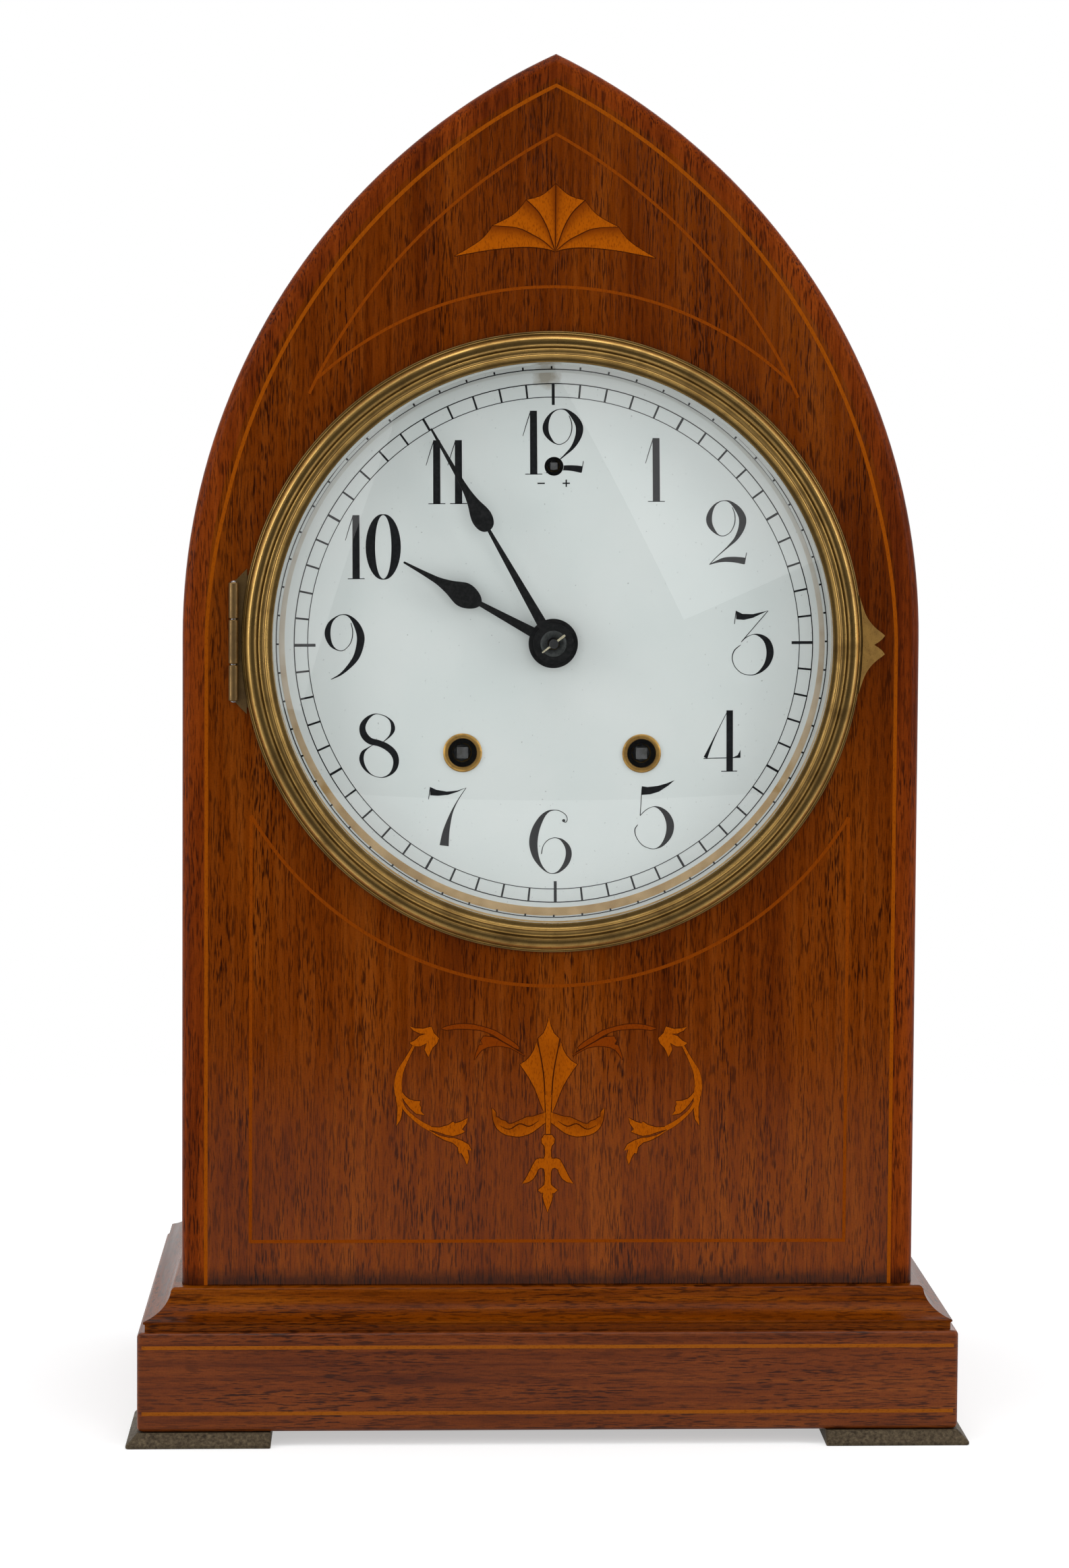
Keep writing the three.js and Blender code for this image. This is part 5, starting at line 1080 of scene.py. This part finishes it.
def hinge():
    """A leaf on the case with the middle barrel, a strap on the bezel with the outer two, and the pin."""
    third, end, play = 6.1, 16.0, 0.12

    def plate(points, front, rear):
        return prism([(x, DIAL_Z + z) for x, z in points], front, rear)

    def web(low, high, rear):
        return plate([(-86.7, low), (-85.5, low), (-85.5, high), (-86.7, high)], -1.45, rear)

    leaf = [(-87.0, -15.4), (-86.2, -16.4), (-81.4, -18.2), (-81.4, 18.2), (-86.2, 16.4), (-87.0, 15.4)]
    stem = third - 0.2
    fixed = joined(plate(leaf, -0.5, -0.1), web(-stem, stem, -0.45), knuckle(-third + play, third - play))
    build("hinge_case_half", fixed, HARDWARE_BRASS, "case", ["bezel_hinge_fixed"])
    notch, ends = third + 0.15, end - 0.3
    strap = [(-86.1, -end), (-85.4, -16.7), (-84.2, -18.0), (-82.6, -19.6), (-82.6, 19.6), (-84.2, 18.0),
             (-85.4, 16.7), (-86.1, end), (-86.1, notch), (-84.4, notch), (-84.4, -notch), (-86.1, -notch)]
    moving = joined(plate(strap, -0.92, -0.55), web(-ends, -notch, -0.62), web(notch, ends, -0.62),
                    knuckle(-end, -third - play), knuckle(third + play, end))
    build("hinge_bezel_half", moving, HARDWARE_BRASS, "bezel", ["bezel_hinge_moving"])
    build("hinge_pin_rod", knuckle(-end - 0.4, end + 0.4, 0.8, 0.0), STEEL, "case",
          ["bezel_hinge_pin"])


# Hands

def hand(name, angle, rear, hub, bore, shaft, stations, body, node):
    """A spade hand: round hub, tapering shaft, then blade stations of (radius, half width) to the point."""
    start, steps, thick = asin(shaft / hub), 56, 0.7
    right = [(shaft, hub * cos(start))] + [(w, r) for r, w in spline(stations, 4)]
    outline = right + [(0.0, stations[-1][0] + 0.15)] + other_half(right)
    for i in range(steps - 1, 0, -1):
        a = start + (2 * pi - 2 * start) * i / steps
        outline.append((hub * sin(a), hub * cos(a)))
    c, s = cos(radians(angle)), sin(radians(angle))

    def turned(points):
        return [(x * c + z * s, DIAL_Z - x * s + z * c) for x, z in points]
    shape = prism(turned(outline), rear - thick, rear, [turned(circle(0, 0, bore, 40))])
    build(name, shape, HAND_BLACK, body, [node], bevel=0.13)


def hands():
    hour = [(22.1, 0.7), (22.6, 1.4), (23.4, 2.1), (24.6, 2.75), (26.2, 3.25), (27.9, 3.25), (29.5, 2.7),
            (31.7, 1.85), (34.8, 1.05), (37.6, 0.75), (41.1, 0.5), (45.4, 0.28)]
    hand("hour_spade", 298.2, 1.3, 6.6, 3.3, 1.35, hour, "hour", "hour_hand")
    minute = [(34.8, 0.48), (35.1, 1.3), (35.9, 2.1), (37.2, 2.62), (38.9, 2.78), (40.7, 2.45), (43.1, 1.7),
              (45.5, 1.2), (47.9, 0.9), (52.1, 0.64), (59.2, 0.46), (66.1, 0.28)]
    hand("minute_spade", 330.0, -0.9, 5.4, 1.6, 1.38, minute, "minute", "minute_hand")


def hand_fixing():
    """The dished washer over the minute hand, and the taper pin through the arbor."""
    dish = [(1.62, -2.05), (2.0, -2.18), (2.7, -2.12), (3.3, -1.92), (3.5, -1.75), (3.4, -1.7),
            (1.62, -1.7)]
    build("dished_washer", lathe(dish, 56), WASHER_STEEL, "minute", ["hand_washer"])
    pin_y, steps, a = FRONT - 3.5, 16, radians(38)
    c, s = cos(a), sin(a)
    loops = []
    for along, radius in ((-3.85, 0.1), (-3.75, 0.2), (-3.4, 0.22), (3.2, 0.32), (3.7, 0.3), (3.85, 0.15)):
        loop = []
        for t in around(steps):
            out = radius * sin(t)
            loop.append((along * c - out * s, pin_y + radius * cos(t), DIAL_Z + along * s + out * c))
        loops.append(loop)
    build("taper_pin", skin(loops), PIN_BRASS, "minute", ["hand_pin"])


# Wound pieces

def coil_gong():
    """A round wire wound flat, its inner end led down to the stand."""
    wire, inner, outer, turns, per, sides = 1.1, 11.0, 31.0, 3.5, 72, 14
    gong_y, gong_z = 20.1, 100.0
    path = [(inner, -2.2), (inner, -1.1)]
    steps = int(turns * per)
    for i in range(steps + 1):
        r, a = inner + (outer - inner) * i / steps, turns * 2 * pi * i / steps
        path.append((r * cos(a), r * sin(a)))
    last = len(path) - 1
    loops = []
    for i, (x, z) in enumerate(path):
        b, c = path[max(i - 1, 0)], path[min(i + 1, last)]
        along = Vector((c[0] - b[0], c[1] - b[1])).normalized()
        radius = wire * (0.8 if i in (0, last) else 1.0)
        loop = []
        for t in around(sides):
            out = radius * cos(t)
            loop.append((x - along.y * out, gong_y + radius * sin(t), gong_z + z + along.x * out))
        loops.append(loop)
    build("gong_coil", skin(loops), GONG_IRON, "case", ["gong"], smooth=50)


def mainspring(name, side):
    """A flat strip wound on the winding arbor, its last half turn led out to a pillar."""
    pillar_x, pillar_z, reach = 17.0, -23.5, 25.2
    thick, inner, outer, turns, per = 0.5, 3.7, 17.5, 5, 48
    front, rear = FRONT + 31.6, FRONT + 44.6
    start, last = atan2(pillar_z, pillar_x), turns * per
    loops = []
    for i in range(last + 1):
        ease = max(0.0, (i - last + per / 2) / (per / 2))
        radius = inner + (outer - inner) * i / last + (reach - outer) * ease ** 2
        a = start + (i - last) * 2 * pi / per
        (ax, az), (bx, bz) = (
            (side * (WINDING_X + r * cos(a)), WINDING_Z + r * sin(a))
            for r in (radius + thick / 2, radius - thick / 2))
        loops.append([(ax, front, az), (ax, rear, az), (bx, rear, bz), (bx, front, bz)])
    build(name + "_spring_coil", skin(loops), SPRING_STEEL, "case", [name + "_mainspring"])


# Carried-over nodes

def rounded_group():
    """A modifier that joins a node's facets and shades its round faces smoothly."""
    group = bpy.data.node_groups.new("soft_facets", "GeometryNodeTree")
    for way in ("INPUT", "OUTPUT"):
        group.interface.new_socket("Geometry", in_out=way, socket_type="NodeSocketGeometry")
    n = Nodes(group)
    shape = n.add("NodeGroupInput").outputs[0]
    angle = n.add("GeometryNodeInputMeshEdgeAngle").outputs["Unsigned Angle"]
    wide = n.math("GREATER_THAN", angle, radians(38))
    for kind, inputs, settings in (
            ("RemoveAttribute", {"Name": "custom_normal"}, {}),
            ("MergeByDistance", {"Distance": 1e-6}, {}),
            ("SetShadeSmooth", {}, {}),
            ("SetShadeSmooth", {"Selection": wide, "Shade Smooth": False}, {"domain": "EDGE"})):
        shape = n.add("GeometryNode" + kind, {"Geometry": shape, **inputs}, **settings).outputs["Geometry"]
    n.add("NodeGroupOutput", {0: shape})
    return group


def dress_nodes():
    finishes = {
        BACK_WOOD: ["case_back", "case_floor", "back_door"],
        HARDWARE_BRASS: ["back_door_hinge_fixed", "back_door_hinge_moving",
                         "back_door_knob", "dial_pan", "pendulum_bob"],
        MOVEMENT_BRASS: ["front_plate", "back_plate", "time_great_wheel", "strike_great_wheel",
                         "hour_wheel", "suspension_post", "suspension_slider"],
        STEEL: ["anchor", "time_winding_arbor", "strike_winding_arbor", "time_click", "strike_click",
                "regulator_arbor", "pendulum_rod", "hammer"],
        GONG_IRON: ["gong_stand"],
    }
    for name, radius in (("time_second_wheel", 5.9), ("strike_second_wheel", 5.9), ("centre_wheel", 5.6),
                         ("third_wheel", 2.4), ("escape_wheel", 2.2), ("minute_wheel", 3.3),
                         ("strike_pin_wheel", 3.1), ("strike_fly", 2.2)):
        low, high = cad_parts[name].bound_box[0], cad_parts[name].bound_box[6]
        arbor = ((low[0] + high[0]) / 2, (low[2] + high[2]) / 2, radius)
        finishes[metal(name, *MOVEMENT_TONES, core=arbor)] = [name]
    group = rounded_group()
    for material, names in finishes.items():
        for name in names:
            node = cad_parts[name]
            for slot in node.material_slots:
                slot.material = material
            if not node.material_slots:
                node.data.materials.append(material)
            node.modifiers.new("soft_facets", "NODES").node_group = group


# Studio

# The rays that see the white surroundings
SEEN = "Is Camera Ray", "Is Glossy Ray", "Is Transmission Ray"


def surroundings():
    """Soft light from all sides. Seen straight it is white; reflections find the camera's side dark."""
    world = bpy.data.worlds.new("studio")
    bpy.context.scene.world = world
    world.use_nodes = True
    n = Nodes(world.node_tree)
    ambient = n.tree.nodes["Background"]
    ambient.inputs["Color"].default_value = (0.97, 0.985, 1.0, 1.0)
    ambient.inputs["Strength"].default_value = 0.6
    split = n.add("ShaderNodeSeparateXYZ", {0: n.add("ShaderNodeTexCoord").outputs["Generated"]})
    room = n.add("ShaderNodeMapRange", {
        "Value": split.outputs["Y"], "From Min": -0.88, "From Max": -0.4, "To Min": 0.06, "To Max": 1.0})
    strength = n.math("MAXIMUM", room.outputs[0], n.rays("Is Camera Ray", "Is Transmission Ray"))
    white = n.add("ShaderNodeBackground", {"Color": (1.0, 1.0, 1.0, 1.0), "Strength": strength})
    n.show(n.either(n.rays(*SEEN), ambient, white), "World Output")


def floor():
    """A pale floor that takes the shadow near the clock and fades to white farther out."""
    wide, near, far = 6, -0.68, 9
    mesh = bpy.data.meshes.new("floor")
    corners = [(-wide, near, 0), (wide, near, 0), (wide, far, 0), (-wide, far, 0)]
    mesh.from_pydata(corners, [], [(0, 1, 2, 3)])
    sheet = placed("floor", mesh)
    s = Shader("floor_white", Base_Color=(0.62, 0.62, 0.62, 1.0), Roughness=0.9, Specular_IOR_Level=0.0)
    glow = s.add("ShaderNodeEmission", {"Strength": 0.485})
    lit = s.add("ShaderNodeAddShader", {0: s.surface.outputs[0], 1: glow.outputs[0]})
    white = s.add("ShaderNodeEmission", {"Strength": 1.0})
    away = s.add("ShaderNodeVectorMath", {0: s.coordinates}, operation="LENGTH").outputs["Value"]
    faded = s.either(s.ramp(away, (0.3, 0.0), (0.62, 1.0)), lit, white)
    s.show(s.either(s.rays(*SEEN), s.surface, faded))
    mesh.materials.append(s.material)


def lamps():
    middle = Vector((0.0, -0.06, 0.2))
    for name, place, size, power, roll in (
            ("window", (0.42, -1.35, 0.62), (0.5, 0.7), 1.5, 24),
            ("panel", (-0.52, -1.25, 0.42), (0.28, 0.8), 0.95, -16),
            ("left_strip", (-1.3, -0.55, 0.55), (0.35, 1.2), 6.6, 0),
            ("right_strip", (1.3, -0.55, 0.5), (0.35, 1.2), 6.6, 0),
            ("overhead", (0.0, -0.3, 1.6), (1.2, 0.8), 7.5, 0),
            ("rear", (0.3, 1.7, 0.9), (1.2, 0.8), 7.0, 0)):
        data = bpy.data.lights.new(name, "AREA")
        data.shape = "RECTANGLE"
        data.size, data.size_y = size
        data.energy = power
        lamp = placed(name, data)
        lamp.location = place
        aim = (middle - Vector(place)).to_track_quat("-Z", "Y")
        lamp.rotation_euler = (aim @ Quaternion((0, 0, 1), radians(roll))).to_euler()


place_camera()
case_front()
case_sides()
base()
feet()
strings()
fan()
scroll()
dial_face()
dial_print()
painted_bevel_images()
dial_holes()
bezel_band()
bezel_glass()
bezel_tab()
hinge()
hands()
hand_fixing()
coil_gong()
mainspring("time", 1)
mainspring("strike", -1)
dress_nodes()
surroundings()
floor()
lamps()
bpy.context.scene.view_settings.view_transform = "Standard"
